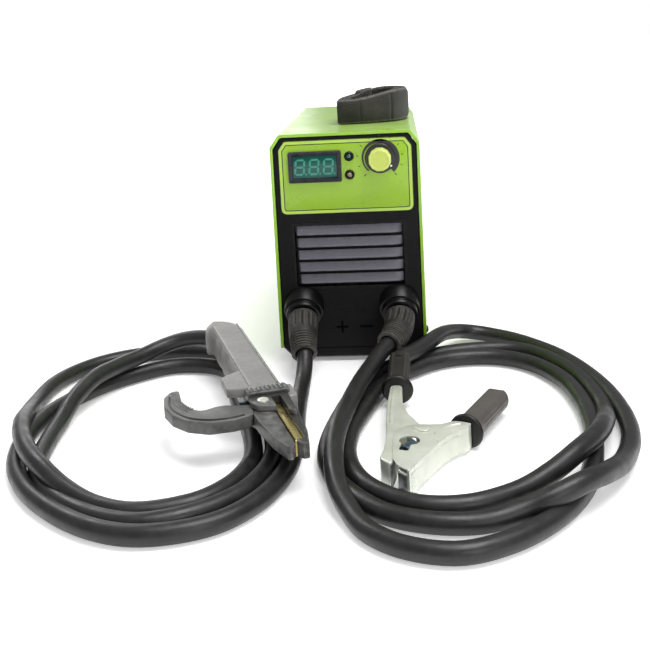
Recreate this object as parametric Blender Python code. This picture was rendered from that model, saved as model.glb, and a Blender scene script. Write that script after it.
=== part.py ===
"""A portable stick welding inverter with its two welding leads, electrode holder and earth clamp.

Run it with blender --background --python part.py. Every size below is in millimetres, and the
meshes are made in metres. X runs to the machine's right, Y to its back and Z up. The floor is
Z = 0, and the origin is the middle of the machine's footprint.
"""

import math

import bmesh
import bpy
from mathutils import Matrix, Vector

MM = 0.001

# ---- driving sizes of the machine ----
WIDTH = 130.0
HEIGHT = 205.0
FRONT = -134.0
BACK = 140.0
FLOOR_GAP = 3.0
SHEET = 1.2
GAP = 0.3
CHAMFER_SIDE = 8.0
CHAMFER_DROP = 11.0
PANEL_INSET = 1.6
PANEL_FACE = FRONT + 1.0
PANEL_THICK = 3.0
PLATE_THICK = 1.0

# ---- front panel layout, X and Z of each centre ----
LABEL = (-57.5, 58.0, 134.5, 199.0)
DISPLAY = (-26.0, 176.0)
DISPLAY_SIZE = (46.0, 27.0)
WINDOW_SIZE = (39.0, 20.0)
POWER_LED = (4.0, 184.0)
FAULT_LED = (4.0, 168.0)
LED_RADIUS = 2.5
LED_HOLDER_RADIUS = 4.2
KNOB = (30.5, 181.5)
KNOB_RADIUS = 11.0
KNOB_HEIGHT = 15.0
LOUVRE = (-47.0, 48.0, 69.0, 124.0)
LOUVRE_COUNT = 5
SOCKET_X = 42.0
SOCKET_Z = 52.0
SOCKET_TILT = math.radians(30.0)
SOCKET_RADIUS = 12.4
BOSS = 10.0

# ---- rear panel: the outer face, and where the fan, the switch and the inlet sit ----
REAR_FACE = BACK - 1.0
FAN = (0.0, REAR_FACE - PANEL_THICK - GAP, 74.0)
FAN_HALF = 46.0
FAN_RADIUS = 42.0
FAN_DEPTH = 24.0
BLADE_COUNT = 7
SWITCH = (-28.0, REAR_FACE, 158.0)
INLET = (24.0, REAR_FACE, 158.0)

# ---- leads ----
LEAD_DIAMETER = 13.4
LEAD_POINTS = 80
SLEEVE_RADIUS = 13.0
BORE_RADIUS = 7.2

# ---- electrode holder and earth clamp ----
HOLDER_Z = 30.0
CLAMP_BOTTOM = 1.4
CLAMP_TOP = 19.6
CLAMP_PIVOT = (56.0, -199.0)

# Routes and plan outlines of the leads, holder and clamp are measured from the foot of the
# front panel: X, Y in front of the panel (negative) and Z above the floor.
ELECTRODE_ROUTE = [
    (-40, -40.5, 28.6), (-39, -48, 24), (-38.4, -55, 19.4), (-38.5, -68, 12.4), (-39, -86, 8),
    (-38, -130, 7), (-35, -175, 7), (-34, -212, 7), (-38, -242, 7), (-49, -272, 7), (-68, -297, 7),
    (-93, -310, 7), (-121, -313, 7), (-150, -303, 7), (-180, -281, 7), (-206, -253, 7),
    (-226, -218, 7), (-236, -178, 7), (-236, -138, 7), (-225, -98, 7), (-206, -64, 7),
    (-184, -40, 7), (-161, -24, 7), (-137, -22, 7), (-115, -31, 7), (-101, -51, 7),
    (-88, -104, 7), (-71, -160, 7), (-62, -200, 7), (-62, -226, 7), (-71, -253, 7),
    (-90, -275, 7), (-123, -286, 7), (-152, -278, 8), (-176, -263, 12), (-197, -245, 18),
    (-214, -224, 20.6), (-228, -198, 20.6), (-238, -172, 19), (-246, -142, 13),
    (-253, -104, 7.4), (-253, -64, 7), (-242, -31, 7), (-222, -6, 7), (-194, 10, 7),
    (-163, 16, 7), (-134, 12, 7), (-112, -2, 7), (-98, -23, 7), (-84, -60, 7),
    (-68, -116, 7), (-52, -174, 7), (-47.5, -208, 7), (-51, -236, 7), (-62, -263, 7),
    (-84, -286, 7), (-114, -299, 7), (-142, -294, 7), (-172, -275, 7), (-196, -248, 7),
    (-211, -216, 7), (-217, -178, 7), (-219, -144, 8), (-217, -114, 15), (-209, -85, 20.6),
    (-197, -58, 20.8), (-183, -37, 21.4), (-168, -21, 24.4), (-152, -14, 27.8), (-138, -14.3, 29.7),
    (-124, -17, 30), (-115.2, -18.9, 30),
]
EARTH_ROUTE = [
    (35.7, -40.3, 32.7), (31.8, -48.2, 31), (27, -57, 28.8), (18.5, -78, 24), (9, -112, 21),
    (2, -155, 20.6), (-3, -196, 20.4), (-4, -232, 18), (0, -264, 13), (9, -289, 8.5),
    (20, -310, 7), (42, -328, 7), (71, -334, 7), (98, -323, 7), (122, -303, 7),
    (143, -276, 7), (158, -244, 7), (168, -206, 7), (175, -163, 7), (176, -118, 7),
    (170, -75, 7), (152, -38, 7), (126, -19, 7), (95, -17, 7), (70, -27, 7),
    (52, -43, 7), (37, -60, 7), (24, -90, 7), (13.5, -126, 7), (4.5, -168, 7), (3.5, -208, 7),
    (12, -242, 7), (28, -265, 7), (52, -280, 7), (82, -279, 7), (112, -264, 8),
    (134, -249, 13), (153, -233, 19.5), (169, -211, 20.6), (180, -182, 17), (187, -150, 9),
    (189, -118, 7), (184, -72, 7), (168, -28, 7), (144, 0, 7), (112, 3, 7),
    (80, -5, 7), (53, -20, 7), (32, -38, 7), (15, -68, 7), (3, -105, 7), (-3.5, -135, 7),
    (-10, -180, 7), (-10, -214, 7), (-3, -243, 7), (12, -270, 7), (32, -291, 7),
    (60, -301, 7), (88, -300, 7), (111, -292, 10), (131, -288, 17), (150, -277, 20.6),
    (168, -255, 16), (184, -224, 9), (197, -184, 7), (201, -140, 7), (196, -84, 7),
    (178, -24, 7), (150, 20, 7), (122, 43, 7.5), (100, 43, 11), (85, 22, 17.5),
    (75, 1, 21.3), (65, -19, 21.5), (53, -38, 21), (46.5, -49, 21.8), (42, -56, 23.2),
    (40.9, -61.6, 23.1), (40.5, -69.2, 21.75),
]
PLUG_MOUTHS = {"positive": (-39.0, -48.0, 24.0), "negative": (31.8, -48.2, 31.0)}

COLOURS = {
    "green_paint": ((0.30, 0.55, 0.05), 0.45, 0.0),
    "lime_label": ((0.33, 0.60, 0.04), 0.35, 0.0),
    "black_plastic": ((0.02, 0.02, 0.022), 0.5, 0.0),
    "grey_plastic": ((0.13, 0.125, 0.14), 0.5, 0.0),
    "knob_yellow": ((0.60, 0.75, 0.15), 0.4, 0.0),
    "display_teal": ((0.02, 0.16, 0.12), 0.2, 0.0),
    "lens_green": ((0.02, 0.10, 0.07), 0.15, 0.0),
    "lens_amber": ((0.25, 0.17, 0.08), 0.15, 0.0),
    "plug_rubber": ((0.07, 0.063, 0.055), 0.6, 0.0),
    "cable_rubber": ((0.03, 0.03, 0.033), 0.45, 0.0),
    "brass": ((0.65, 0.52, 0.25), 0.35, 1.0),
    "zinc_steel": ((0.62, 0.63, 0.58), 0.35, 1.0),
    "dark_steel": ((0.12, 0.14, 0.16), 0.4, 1.0),
    "tray_steel": ((0.05, 0.05, 0.05), 0.5, 0.0),
    "aluminium": ((0.6, 0.6, 0.62), 0.4, 1.0),
    "circuit_board": ((0.02, 0.14, 0.05), 0.5, 0.0),
    "capacitor_sleeve": ((0.03, 0.04, 0.09), 0.4, 0.0),
    "ferrite": ((0.06, 0.06, 0.065), 0.6, 0.0),
    "holder_grey": ((0.30, 0.30, 0.30), 0.55, 0.0),
    "holder_dark": ((0.09, 0.09, 0.09), 0.55, 0.0),
    "grip_rubber": ((0.035, 0.035, 0.033), 0.6, 0.0),
    "strap_webbing": ((0.03, 0.032, 0.028), 0.85, 0.0),
    "foot_rubber": ((0.02, 0.02, 0.02), 0.8, 0.0),
}


# ---------------------------------------------------------------- tools

def clear_scene():
    for obj in list(bpy.data.objects):
        bpy.data.objects.remove(obj, do_unlink=True)


def material(name):
    found = bpy.data.materials.get(name)
    if found:
        return found
    colour, roughness, metallic = COLOURS[name]
    made = bpy.data.materials.new(name)
    made.use_nodes = True
    shader = made.node_tree.nodes["Principled BSDF"]
    shader.inputs["Base Color"].default_value = (*colour, 1.0)
    shader.inputs["Roughness"].default_value = roughness
    shader.inputs["Metallic"].default_value = metallic
    made.diffuse_color = (*colour, 1.0)
    return made


def finish(name, mesh_builder, finish_name, smooth=True):
    """Makes the bmesh an object in metres, with its material."""
    bmesh.ops.recalc_face_normals(mesh_builder, faces=mesh_builder.faces)
    mesh_builder.transform(Matrix.Scale(MM, 4))
    mesh = bpy.data.meshes.new(name)
    mesh_builder.to_mesh(mesh)
    mesh_builder.free()
    if smooth:
        mesh.shade_smooth()
        mesh.set_sharp_from_angle(angle=math.radians(35))
    mesh.materials.append(material(finish_name))
    obj = bpy.data.objects.new(name, mesh)
    bpy.context.scene.collection.objects.link(obj)
    return obj


def loft(rings, hollow=False):
    """A skin through rings of equal point counts: capped at both ends, or joined up as a hollow ring."""
    built = bmesh.new()
    rows = [[built.verts.new(point) for point in ring] for ring in rings]
    following = rows[1:] + (rows[:1] if hollow else [])
    count = len(rows[0])
    for row, after in zip(rows, following):
        for i in range(count):
            j = (i + 1) % count
            built.faces.new((row[i], row[j], after[j], after[i]))
    if not hollow:
        built.faces.new(rows[0][::-1])
        built.faces.new(rows[-1])
    return built


def frame_of(direction, up=(0, 0, 1)):
    """Two unit vectors across a direction: sideways and upwards."""
    ahead = Vector(direction).normalized()
    side = ahead.cross(Vector(up))
    if side.length < 1e-6:
        side = ahead.cross(Vector((0, 1, 0)))
    side.normalize()
    return side, side.cross(ahead)


def ring(centre, direction, wide, tall=None, sides=20, turn=0.0):
    side, upward = frame_of(direction)
    tall = wide if tall is None else tall
    points = []
    for i in range(sides):
        angle = math.tau * i / sides + turn
        across, above = wide * math.cos(angle), tall * math.sin(angle)
        points.append(Vector(centre) + side * across + upward * above)
    return points


def turned(name, start, direction, profile, finish_name, sides=20, hollow=False):
    """A turned piece: profile gives (distance along the direction, radius)."""
    ahead = Vector(direction).normalized()
    rings = [ring(Vector(start) + ahead * along, ahead, radius, sides=sides) for along, radius in profile]
    return finish(name, loft(rings, hollow), finish_name)


def prism(outline, low, high, axis="Z"):
    """An outline pushed from low to high along an axis; outline holds the other two coordinates."""
    def place(a, b, c):
        return {"Z": (a, b, c), "Y": (a, c, b), "X": (c, a, b)}[axis]
    return loft([[Vector(place(a, b, c)) for a, b in outline] for c in (low, high)])


def slab(low, high):
    x0, y0, z0 = low
    x1, y1, z1 = high
    return prism([(x0, y0), (x1, y0), (x1, y1), (x0, y1)], z0, z1)


def box(name, low, high, finish_name, bevel=0.0):
    obj = finish(name, slab(low, high), finish_name)
    if bevel:
        round_edges(obj, bevel)
    return obj


def round_edges(obj, width, segments=1):
    modifier = obj.modifiers.new("Edges", "BEVEL")
    modifier.width = width * MM
    modifier.segments = segments
    modifier.limit_method = "ANGLE"


def rounded_rectangle(x0, x1, z0, z1, radius, steps=4):
    points = []
    corners = ((x1 - radius, z1 - radius, 0), (x0 + radius, z1 - radius, 90),
               (x0 + radius, z0 + radius, 180), (x1 - radius, z0 + radius, 270))
    for cx, cz, start in corners:
        for i in range(steps + 1):
            angle = math.radians(start + 90 * i / steps)
            points.append((cx + radius * math.cos(angle), cz + radius * math.sin(angle)))
    return points


def disc(cx, cz, radius, sides=20):
    return [(cx + radius * math.cos(math.tau * i / sides), cz + radius * math.sin(math.tau * i / sides))
            for i in range(sides)]


def tool(built, name="cutter"):
    """A helper shape for a Boolean, left out of the model."""
    obj = finish(name, built, "tray_steel", smooth=False)
    obj.hide_render = True
    obj.display_type = "WIRE"
    return obj


def combine(obj, built, operation):
    modifier = obj.modifiers.new(operation.title(), "BOOLEAN")
    modifier.operation = operation
    modifier.solver = "EXACT"
    modifier.object = tool(built)


def cut(obj, built):
    combine(obj, built, "DIFFERENCE")


def add(obj, built):
    combine(obj, built, "UNION")


def rod(start, end, radius, sides=16):
    direction = Vector(end) - Vector(start)
    return loft([ring(start, direction, radius, sides=sides), ring(end, direction, radius, sides=sides)])


def smooth_path(points, count):
    """Even steps along a Catmull-Rom curve through the points."""
    knots = [Vector(p) for p in points]
    padded = [2 * knots[0] - knots[1]] + knots + [2 * knots[-1] - knots[-2]]
    dense = []
    for a, b, c, d in zip(padded, padded[1:], padded[2:], padded[3:]):
        for i in range(12):
            t = i / 12
            dense.append(0.5 * (2 * b + (c - a) * t + (2 * a - 5 * b + 4 * c - d) * t * t
                                + (3 * b - a - 3 * c + d) * t ** 3))
    dense.append(knots[-1])
    lengths = [0.0]
    for p, q in zip(dense, dense[1:]):
        lengths.append(lengths[-1] + (q - p).length)
    path = []
    at = 0
    for i in range(count):
        wanted = lengths[-1] * i / (count - 1)
        while at < len(dense) - 2 and lengths[at + 1] < wanted:
            at += 1
        share = (wanted - lengths[at]) / max(lengths[at + 1] - lengths[at], 1e-9)
        path.append(dense[at].lerp(dense[at + 1], min(max(share, 0.0), 1.0)))
    return path


def ahead_of_panel(point):
    """A point measured from the foot of the front panel, in the model's frame."""
    x, y, *rest = point
    return (x, y + FRONT, *rest)


def swept(path, radii, sides=20, mouth_bore=0.0, bore_depth=0.0):
    """Rings along a path; radii are (wide, tall) pairs. The far end can have a blind bore."""
    points = [Vector(p) for p in path]
    rings = []
    for i, point in enumerate(points):
        direction = points[min(i + 1, len(points) - 1)] - points[max(i - 1, 0)]
        wide, tall = radii[i]
        rings.append(ring(point, direction, wide, tall, sides))
    if mouth_bore:
        back = (points[-2] - points[-1]).normalized()
        rings.append(ring(points[-1], -back, mouth_bore, sides=sides))
        rings.append(ring(points[-1] + back * bore_depth, -back, mouth_bore, sides=sides))
    return loft(rings)


# ---------------------------------------------------------------- case

def case_outline(inset, foot=FLOOR_GAP):
    """The eight-sided section of the case, seen from the front."""
    half = WIDTH / 2 - inset
    top = HEIGHT - inset
    side = half - CHAMFER_SIDE + inset * 0.4
    low = foot + inset
    return [(-half, low + 10), (-half + 10, low), (half - 10, low), (half, low + 10),
            (half, top - CHAMFER_DROP + inset * 0.4), (side, top), (-side, top),
            (-half, top - CHAMFER_DROP + inset * 0.4)]


def cover():
    """The folded green shell: two sides, chamfered corners and the top, open below."""
    outer = case_outline(0.0)
    shell = [(-WIDTH / 2, 13.5)] + [outer[7], outer[6], outer[5], outer[4]] + [(WIDTH / 2, 13.5)]
    inner = case_outline(SHEET)
    shell += [(WIDTH / 2 - SHEET, 13.5), inner[4], inner[5], inner[6], inner[7], (-WIDTH / 2 + SHEET, 13.5)]
    obj = finish("cover", prism(shell, FRONT, BACK, "Y"), "green_paint")
    for side in (-1, 1):
        for row in range(2):
            for column in range(7):
                y = 20.0 + column * 14.0
                z = 55.0 + row * 62.0
                x = side * WIDTH / 2
                cut(obj, slab((x - 4, y, z), (x + 4, y + 5, z + 48)))
    return obj


def base_tray():
    """The steel tray that the boards and the feet are screwed to."""
    half = WIDTH / 2 - SHEET - 0.4
    outer = [(-half, 30.0), (-half, 13.0), (-half + 9.5, FLOOR_GAP), (half - 9.5, FLOOR_GAP),
             (half, 13.0), (half, 30.0)]
    inner = [(half - SHEET, 30.0), (half - SHEET, 13.6), (half - 10, FLOOR_GAP + SHEET),
             (-half + 10, FLOOR_GAP + SHEET), (-half + SHEET, 13.6), (-half + SHEET, 30.0)]
    front, back = PANEL_FACE + PANEL_THICK + GAP, REAR_FACE - PANEL_THICK - GAP
    return finish("base_tray", prism(outer + inner, front, back, "Y"), "tray_steel")


def front_panel():
    """The moulded black front, with openings and two tilted bosses for the sockets."""
    outline = case_outline(PANEL_INSET, foot=FLOOR_GAP - 1.0)
    obj = finish("front_panel", prism(outline, PANEL_FACE, PANEL_FACE + PANEL_THICK, "Y"), "black_plastic")
    for side in (-1, 1):
        centre = socket_centre(side)
        add(obj, rod(centre - socket_axis() * 5, centre + socket_axis() * BOSS, 17.5, 24))
    for side in (-1, 1):
        centre = socket_centre(side)
        cut(obj, rod(centre - socket_axis() * 30, centre + socket_axis() * 30, SOCKET_RADIUS + GAP, 24))
    x0, x1, z0, z1 = LOUVRE
    cut(obj, slab((x0, PANEL_FACE - 5, z0), (x1, PANEL_FACE + 9, z1)))
    x, z = DISPLAY
    wide, tall = WINDOW_SIZE
    half_wide, half_tall = wide / 2 + 1, tall / 2 + 1
    cut(obj, slab((x - half_wide, PANEL_FACE - 5, z - half_tall),
                  (x + half_wide, PANEL_FACE + 9, z + half_tall)))
    for x, z in (POWER_LED, FAULT_LED):
        cut(obj, rod((x, PANEL_FACE - 5, z), (x, PANEL_FACE + 9, z), LED_RADIUS + 1.0, 12))
    cut(obj, rod((KNOB[0], PANEL_FACE - 5, KNOB[1]), (KNOB[0], PANEL_FACE + 9, KNOB[1]), 3.6, 12))
    return obj


def louvre_grille():
    """Five sloping grey slats between two side rails, set into the panel's window."""
    x0, x1, z0, z1 = LOUVRE
    x0, x1, z0, z1 = x0 + GAP, x1 - GAP, z0 + GAP, z1 - GAP
    front, back = PANEL_FACE - 0.5, PANEL_FACE + 6.0
    obj = finish("louvre_grille", slab((x0, front + 3.5, z0), (x0 + 2, back, z1)), "grey_plastic")
    add(obj, slab((x1 - 2, front + 3.5, z0), (x1, back, z1)))
    pitch = (z1 - z0) / LOUVRE_COUNT
    step_in = 0.4
    for i in range(LOUVRE_COUNT):
        top = z1 - i * pitch - 1.2
        left = x0 + step_in * i
        section = [(front, top - 8.3), (front, top - 1.2), (front + 1.2, top), (back, top + 0.6),
                   (back, top - 1.0), (front + 1.9, top - 2.2), (front + 1.9, top - 8.3)]
        add(obj, prism(section, left, x1, "X"))
    return obj


def control_plate():
    """The lime fascia plate that carries the display, the lamps and the knob."""
    x0, x1, z0, z1 = LABEL
    outline = rounded_rectangle(x0, x1, z0, z1, 7.0)
    obj = finish("control_plate", prism(outline, plate_face(), PANEL_FACE - GAP, "Y"), "lime_label")
    x, z = DISPLAY
    wide, tall = WINDOW_SIZE
    half_wide, half_tall = wide / 2 + 1, tall / 2 + 1
    cut(obj, slab((x - half_wide, FRONT - 5, z - half_tall), (x + half_wide, FRONT + 5, z + half_tall)))
    for x, z in (POWER_LED, FAULT_LED):
        cut(obj, rod((x, FRONT - 5, z), (x, FRONT + 5, z), LED_RADIUS + 1.0, 12))
    cut(obj, rod((KNOB[0], FRONT - 5, KNOB[1]), (KNOB[0], FRONT + 5, KNOB[1]), 3.6, 12))
    return obj


def plate_face():
    return PANEL_FACE - GAP - PLATE_THICK


def display():
    """The bezel frame on the plate, and the dark window behind it."""
    x, z = DISPLAY
    wide, tall = DISPLAY_SIZE
    front = plate_face() - GAP - 3.0
    outline = rounded_rectangle(x - wide / 2, x + wide / 2, z - tall / 2, z + tall / 2, 1.5, 2)
    bezel = finish("display_bezel", prism(outline, front, plate_face() - GAP, "Y"), "black_plastic")
    wide, tall = WINDOW_SIZE
    cut(bezel, slab((x - wide / 2, front - 2, z - tall / 2), (x + wide / 2, front + 9, z + tall / 2)))
    window = (x - wide / 2 + GAP, plate_face() - 1.5, z - tall / 2 + GAP)
    box("display_window", window, (x + wide / 2 - GAP, PANEL_FACE + 2, z + tall / 2 - GAP), "display_teal")


def lamp(name, centre, lens):
    """A 5 mm lamp in its press-in holder."""
    x, z = centre
    face = plate_face() - GAP
    turned(name + "_holder", (x, face, z), (0, -1, 0),
           [(0, LED_HOLDER_RADIUS), (1.2, LED_HOLDER_RADIUS), (2.2, LED_HOLDER_RADIUS - 0.8),
            (2.2, LED_RADIUS + GAP), (0, LED_RADIUS + GAP)], "black_plastic", 16, hollow=True)
    turned(name, (x, face + 5.0, z), (0, -1, 0),
           [(0, LED_RADIUS), (6.2, LED_RADIUS), (7.4, LED_RADIUS * 0.75), (7.9, LED_RADIUS * 0.3)], lens, 12)


# ---------------------------------------------------------------- current control

def current_control():
    """The knob and its shaft turn together in the potentiometer body."""
    x, z = KNOB
    base = plate_face() - 1.0
    facets = 12
    turned("current_knob", (x, base, z), (0, -1, 0),
           [(0, KNOB_RADIUS + 2.0), (2.5, KNOB_RADIUS + 1.6), (3.5, KNOB_RADIUS),
            (KNOB_HEIGHT, KNOB_RADIUS - 0.8), (KNOB_HEIGHT, KNOB_RADIUS - 2.0),
            (KNOB_HEIGHT - 1.5, KNOB_RADIUS - 2.0)], "black_plastic", facets * 2)
    turned("knob_cap", (x, base - KNOB_HEIGHT + 1.2, z), (0, -1, 0),
           [(0, KNOB_RADIUS - 2.4), (2.0, KNOB_RADIUS - 2.4), (2.6, KNOB_RADIUS - 3.2)],
           "knob_yellow", facets)
    turned("potentiometer_shaft", (x, base + GAP, z), (0, 1, 0), [(0, 3.0), (12.0, 3.0)], "zinc_steel", 12)
    turned("potentiometer_body", (x, base + GAP + 12.0 + GAP, z), (0, 1, 0),
           [(0, 4.0), (0.8, 8.5), (9.0, 8.5)], "dark_steel", 16)


# ---------------------------------------------------------------- sockets and plugs

def socket_axis():
    return Vector((0, -math.cos(SOCKET_TILT), -math.sin(SOCKET_TILT)))


def socket_centre(side):
    return Vector((side * SOCKET_X, PANEL_FACE, SOCKET_Z))


def socket_and_plug(kind, side):
    """A bayonet socket on the panel, and the lead's plug turned into it."""
    axis = socket_axis()
    centre = socket_centre(side)
    flange = BOSS + GAP
    turned("socket_" + kind, centre, axis,
           [(-20, SOCKET_RADIUS), (flange, SOCKET_RADIUS), (flange, 15.5), (flange + 2.5, 15.5),
            (flange + 3.5, 14.5), (flange + 3.5, 9.0), (-16, 9.0)], "black_plastic", 24)
    turned("socket_insert_" + kind, centre, axis,
           [(-15.5, 8.6), (flange + 2.0, 8.6), (flange + 2.0, 5.4), (-10, 5.4)], "brass", 20)
    base = centre + axis * (flange + 3.5 + 2 * GAP)
    turned("plug_pin_" + kind, base - axis * GAP, axis, [(-17.0, 4.2), (-16.0, 5.0), (0, 5.0)], "brass", 16)
    mouth = Vector(ahead_of_panel(PLUG_MOUTHS[kind]))
    bend = base + axis * ((mouth - base).length * 0.5)
    path = [base]
    radii = [(SLEEVE_RADIUS - 1.2, SLEEVE_RADIUS - 1.2)]
    steps = 8
    for i in range(steps + 1):
        t = 0.02 + 0.98 * i / steps
        path.append(base * (1 - t) ** 2 + bend * (2 * t * (1 - t)) + mouth * t * t)
        radius = SLEEVE_RADIUS - 2.6 * t * t
        radii.append((radius, radius))
    finish("plug_sleeve_" + kind, swept(path, radii, 20, BORE_RADIUS + 0.6, 11.0), "plug_rubber")


def lead(name, route):
    """A free cable: a round tube along the route, whose two ends run straight into their bores."""
    curve = bpy.data.curves.new(name, "CURVE")
    curve.dimensions = "3D"
    curve.bevel_depth = LEAD_DIAMETER / 2 * MM
    curve.bevel_resolution = 3
    curve.use_fill_caps = True
    spline = curve.splines.new("POLY")
    points = [Vector(ahead_of_panel(point)) for point in route]
    path = [points[0]] + smooth_path(points[1:-1], LEAD_POINTS - 2) + [points[-1]]
    spline.points.add(len(path) - 1)
    for knot, point in zip(spline.points, path):
        knot.co = (*(point * MM), 1.0)
    curve.materials.append(material("cable_rubber"))
    obj = bpy.data.objects.new(name, curve)
    bpy.context.scene.collection.objects.link(obj)
    return obj


# ---------------------------------------------------------------- rear

def rear_panel():
    """The moulded back, with the fan opening and the holes for the switch and the inlet."""
    outline = case_outline(PANEL_INSET, foot=FLOOR_GAP - 1.0)
    face = REAR_FACE
    obj = finish("rear_panel", prism(outline, face - PANEL_THICK, face, "Y"), "black_plastic")
    cut(obj, rod((0, face - 9, FAN[2]), (0, face + 9, FAN[2]), FAN_RADIUS + 2, 32))
    cut(obj, slab((SWITCH[0] - 10.5, face - 9, SWITCH[2] - 14.5),
                  (SWITCH[0] + 10.5, face + 9, SWITCH[2] + 14.5)))
    cut(obj, slab((INLET[0] - 15.5, face - 9, INLET[2] - 12.5), (INLET[0] + 15.5, face + 9, INLET[2] + 12.5)))
    return obj


def fan():
    """A 92 mm axial fan: frame with four struts, seven-blade rotor, and ring guard outside."""
    x, y, z = FAN
    square = rounded_rectangle(x - FAN_HALF, x + FAN_HALF, z - FAN_HALF, z + FAN_HALF, 5.0, 2)
    frame = finish("fan_frame", prism(square, y - FAN_DEPTH - 1, y, "Y"), "black_plastic")
    cut(frame, rod((x, y - FAN_DEPTH + 1.5, z), (x, y + 9, z), FAN_RADIUS + 1.0, 32))
    cut(frame, fan_strut_opening())
    rotor = finish("fan_rotor", rod((x, y - FAN_DEPTH + 2.0, z), (x, y - 2.0, z), 17.0, 24), "black_plastic")
    for i in range(BLADE_COUNT):
        add(rotor, fan_blade(math.tau * i / BLADE_COUNT))
    fan_guard(x, z)


def fan_guard(x, z):
    """The guard outside the fan: an outer ring, three inner ones, four spokes and a hub disc."""
    near, far = REAR_FACE + GAP, REAR_FACE + 3.3
    guard = finish("fan_guard", ring_plate(x, z, FAN_RADIUS + 4.0, FAN_RADIUS + 1.0, near, far), "dark_steel")
    for radius in (33.0, 23.0, 13.0):
        add(guard, ring_plate(x, z, radius, radius - 2.0, near + 0.4, far - 0.4))
    middle = REAR_FACE + 2.0
    for i in range(4):
        angle = math.radians(45 + 90 * i)
        inner, outer = 5.0, FAN_RADIUS + 2.5
        start = (x + inner * math.cos(angle), middle, z + inner * math.sin(angle))
        end = (x + outer * math.cos(angle), middle, z + outer * math.sin(angle))
        add(guard, rod(start, end, 1.1, 6))
    add(guard, rod((x, near, z), (x, far, z), 7.0, 16))


def ring_plate(x, z, outer, inner, low, high, sides=32):
    """A flat ring whose axis is Y."""
    rings = []
    for radius, y in ((outer, low), (outer, high), (inner, high), (inner, low)):
        rings.append([Vector((px, y, pz)) for px, pz in disc(x, z, radius, sides)])
    return loft(rings, hollow=True)


def fan_strut_opening():
    """Four quadrant openings in the fan frame's motor side, joined into one cutter by a thin ring."""
    x, y, z = FAN
    built = bmesh.new()
    for k in range(4):
        points = []
        for i in range(7):
            angle = math.radians(90 * k + 8 + 74 * i / 6)
            points.append((x + FAN_RADIUS * math.cos(angle), z + FAN_RADIUS * math.sin(angle)))
        for i in range(7):
            angle = math.radians(90 * k + 76 - 62 * i / 6)
            points.append((x + 20 * math.cos(angle), z + 20 * math.sin(angle)))
        piece = prism(points, y - FAN_DEPTH - 6, y - FAN_DEPTH + 6, "Y")
        mesh = bpy.data.meshes.new("quadrant")
        piece.to_mesh(mesh)
        piece.free()
        built.from_mesh(mesh)
    return built


def fan_blade(angle):
    """One pitched blade from inside the hub to the rim."""
    x, y, z = FAN
    built = slab((12.0, -9.0, -1.0), (FAN_RADIUS - 1.5, 9.0, 1.0))
    built.transform(Matrix.Rotation(math.radians(35), 4, "X"))
    built.transform(Matrix.Rotation(angle, 4, "Y"))
    built.transform(Matrix.Translation((x, y - FAN_DEPTH / 2, z)))
    return built


def power_switch():
    """A rocker switch: fixed body and flange, and the rocker that tips in it."""
    x, y, z = SWITCH
    body = box("power_switch_body", (x - 10, y - 18, z - 14), (x + 10, y + GAP, z + 14), "black_plastic")
    add(body, slab((x - 12, y + GAP, z - 16.5), (x + 12, y + 2.0, z + 16.5)))
    cut(body, slab((x - 8, y - 9, z - 13.2), (x + 8, y + 9, z + 13.2)))
    profile = [(y - 6.3, z - 2.0), (y - 6.3, z + 2.0), (y - 2.0, z + 10.8), (y + 1.6, z + 11.0),
               (y + 1.6, z + 3.0), (y + 4.6, z - 11.0), (y - 1.0, z - 10.8)]
    finish("power_switch_rocker", prism(profile, x - 7.5, x + 7.5, "X"), "black_plastic")


def mains_inlet():
    """A recessed three-pin appliance inlet in the back."""
    x, y, z = INLET
    body = box("mains_inlet", (x - 15, y - 24, z - 12), (x + 15, y + GAP, z + 12), "black_plastic")
    add(body, slab((x - 18, y + GAP, z - 15), (x + 18, y + 2.5, z + 15)))
    cut(body, slab((x - 12, y - 16, z - 8.5), (x + 12, y + 9, z + 8.5)))
    for dx, dz in ((-7, -2), (7, -2), (0, 3)):
        add(body, slab((x + dx - 1, y - 18, z + dz - 2.5), (x + dx + 1, y - 3, z + dz + 2.5)))


# ---------------------------------------------------------------- inside

def inside():
    """The power stage, on its board between two finned heat sinks."""
    box("main_board", (-60.5, -95, 34), (60.5, 96, 36), "circuit_board")
    box("control_board", (-56, -108, 138), (56, -106.2, 196), "circuit_board")
    for name, y0, y1 in (("heatsink_rectifier", -88, -20), ("heatsink_switch", 6, 92)):
        sink = box(name, (-56, y0, 36.4), (-16, y1, 41), "aluminium")
        for i in range(5):
            x = -55.5 + i * 9.4
            add(sink, slab((x, y0, 40.5), (x + 2.2, y1, 108)))
    for i, y in enumerate((20.0, 58.0)):
        turned(f"bus_capacitor_{i + 1}", (34, y, 36.4), (0, 0, 1),
               [(0, 16.0), (2, 17.5), (48, 17.5), (50, 16.5)], "capacitor_sleeve", 20)
    core = box("transformer", (2, -40, 36.4), (56, -4, 92), "ferrite", 1.0)
    add(core, rod((29, -46, 64), (29, 2, 64), 19.0, 20))
    inductor_ring()
    for kind, side in (("positive", -1), ("negative", 1)):
        bar = box("bus_bar_" + kind, (side * 42 - 7, -107, 36.3), (side * 42 + 7, -104.5, 66), "brass")
        add(bar, slab((side * 42 - 7, -107, 36.3), (side * 42 + 7, -93, 38.8)))


def inductor_ring():
    """The output choke, a wound ring standing on the board."""
    centre = Vector((26, -72, 64))
    rings = []
    for i in range(20):
        turn = math.tau * i / 20
        out = Vector((math.cos(turn), 0, math.sin(turn)))
        rings.append([centre + out * (18 + 7.5 * math.cos(tilt)) + Vector((0, 10 * math.sin(tilt), 0))
                      for tilt in (math.tau * k / 10 for k in range(10))])
    finish("output_choke", loft(rings, hollow=True), "ferrite")


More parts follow.
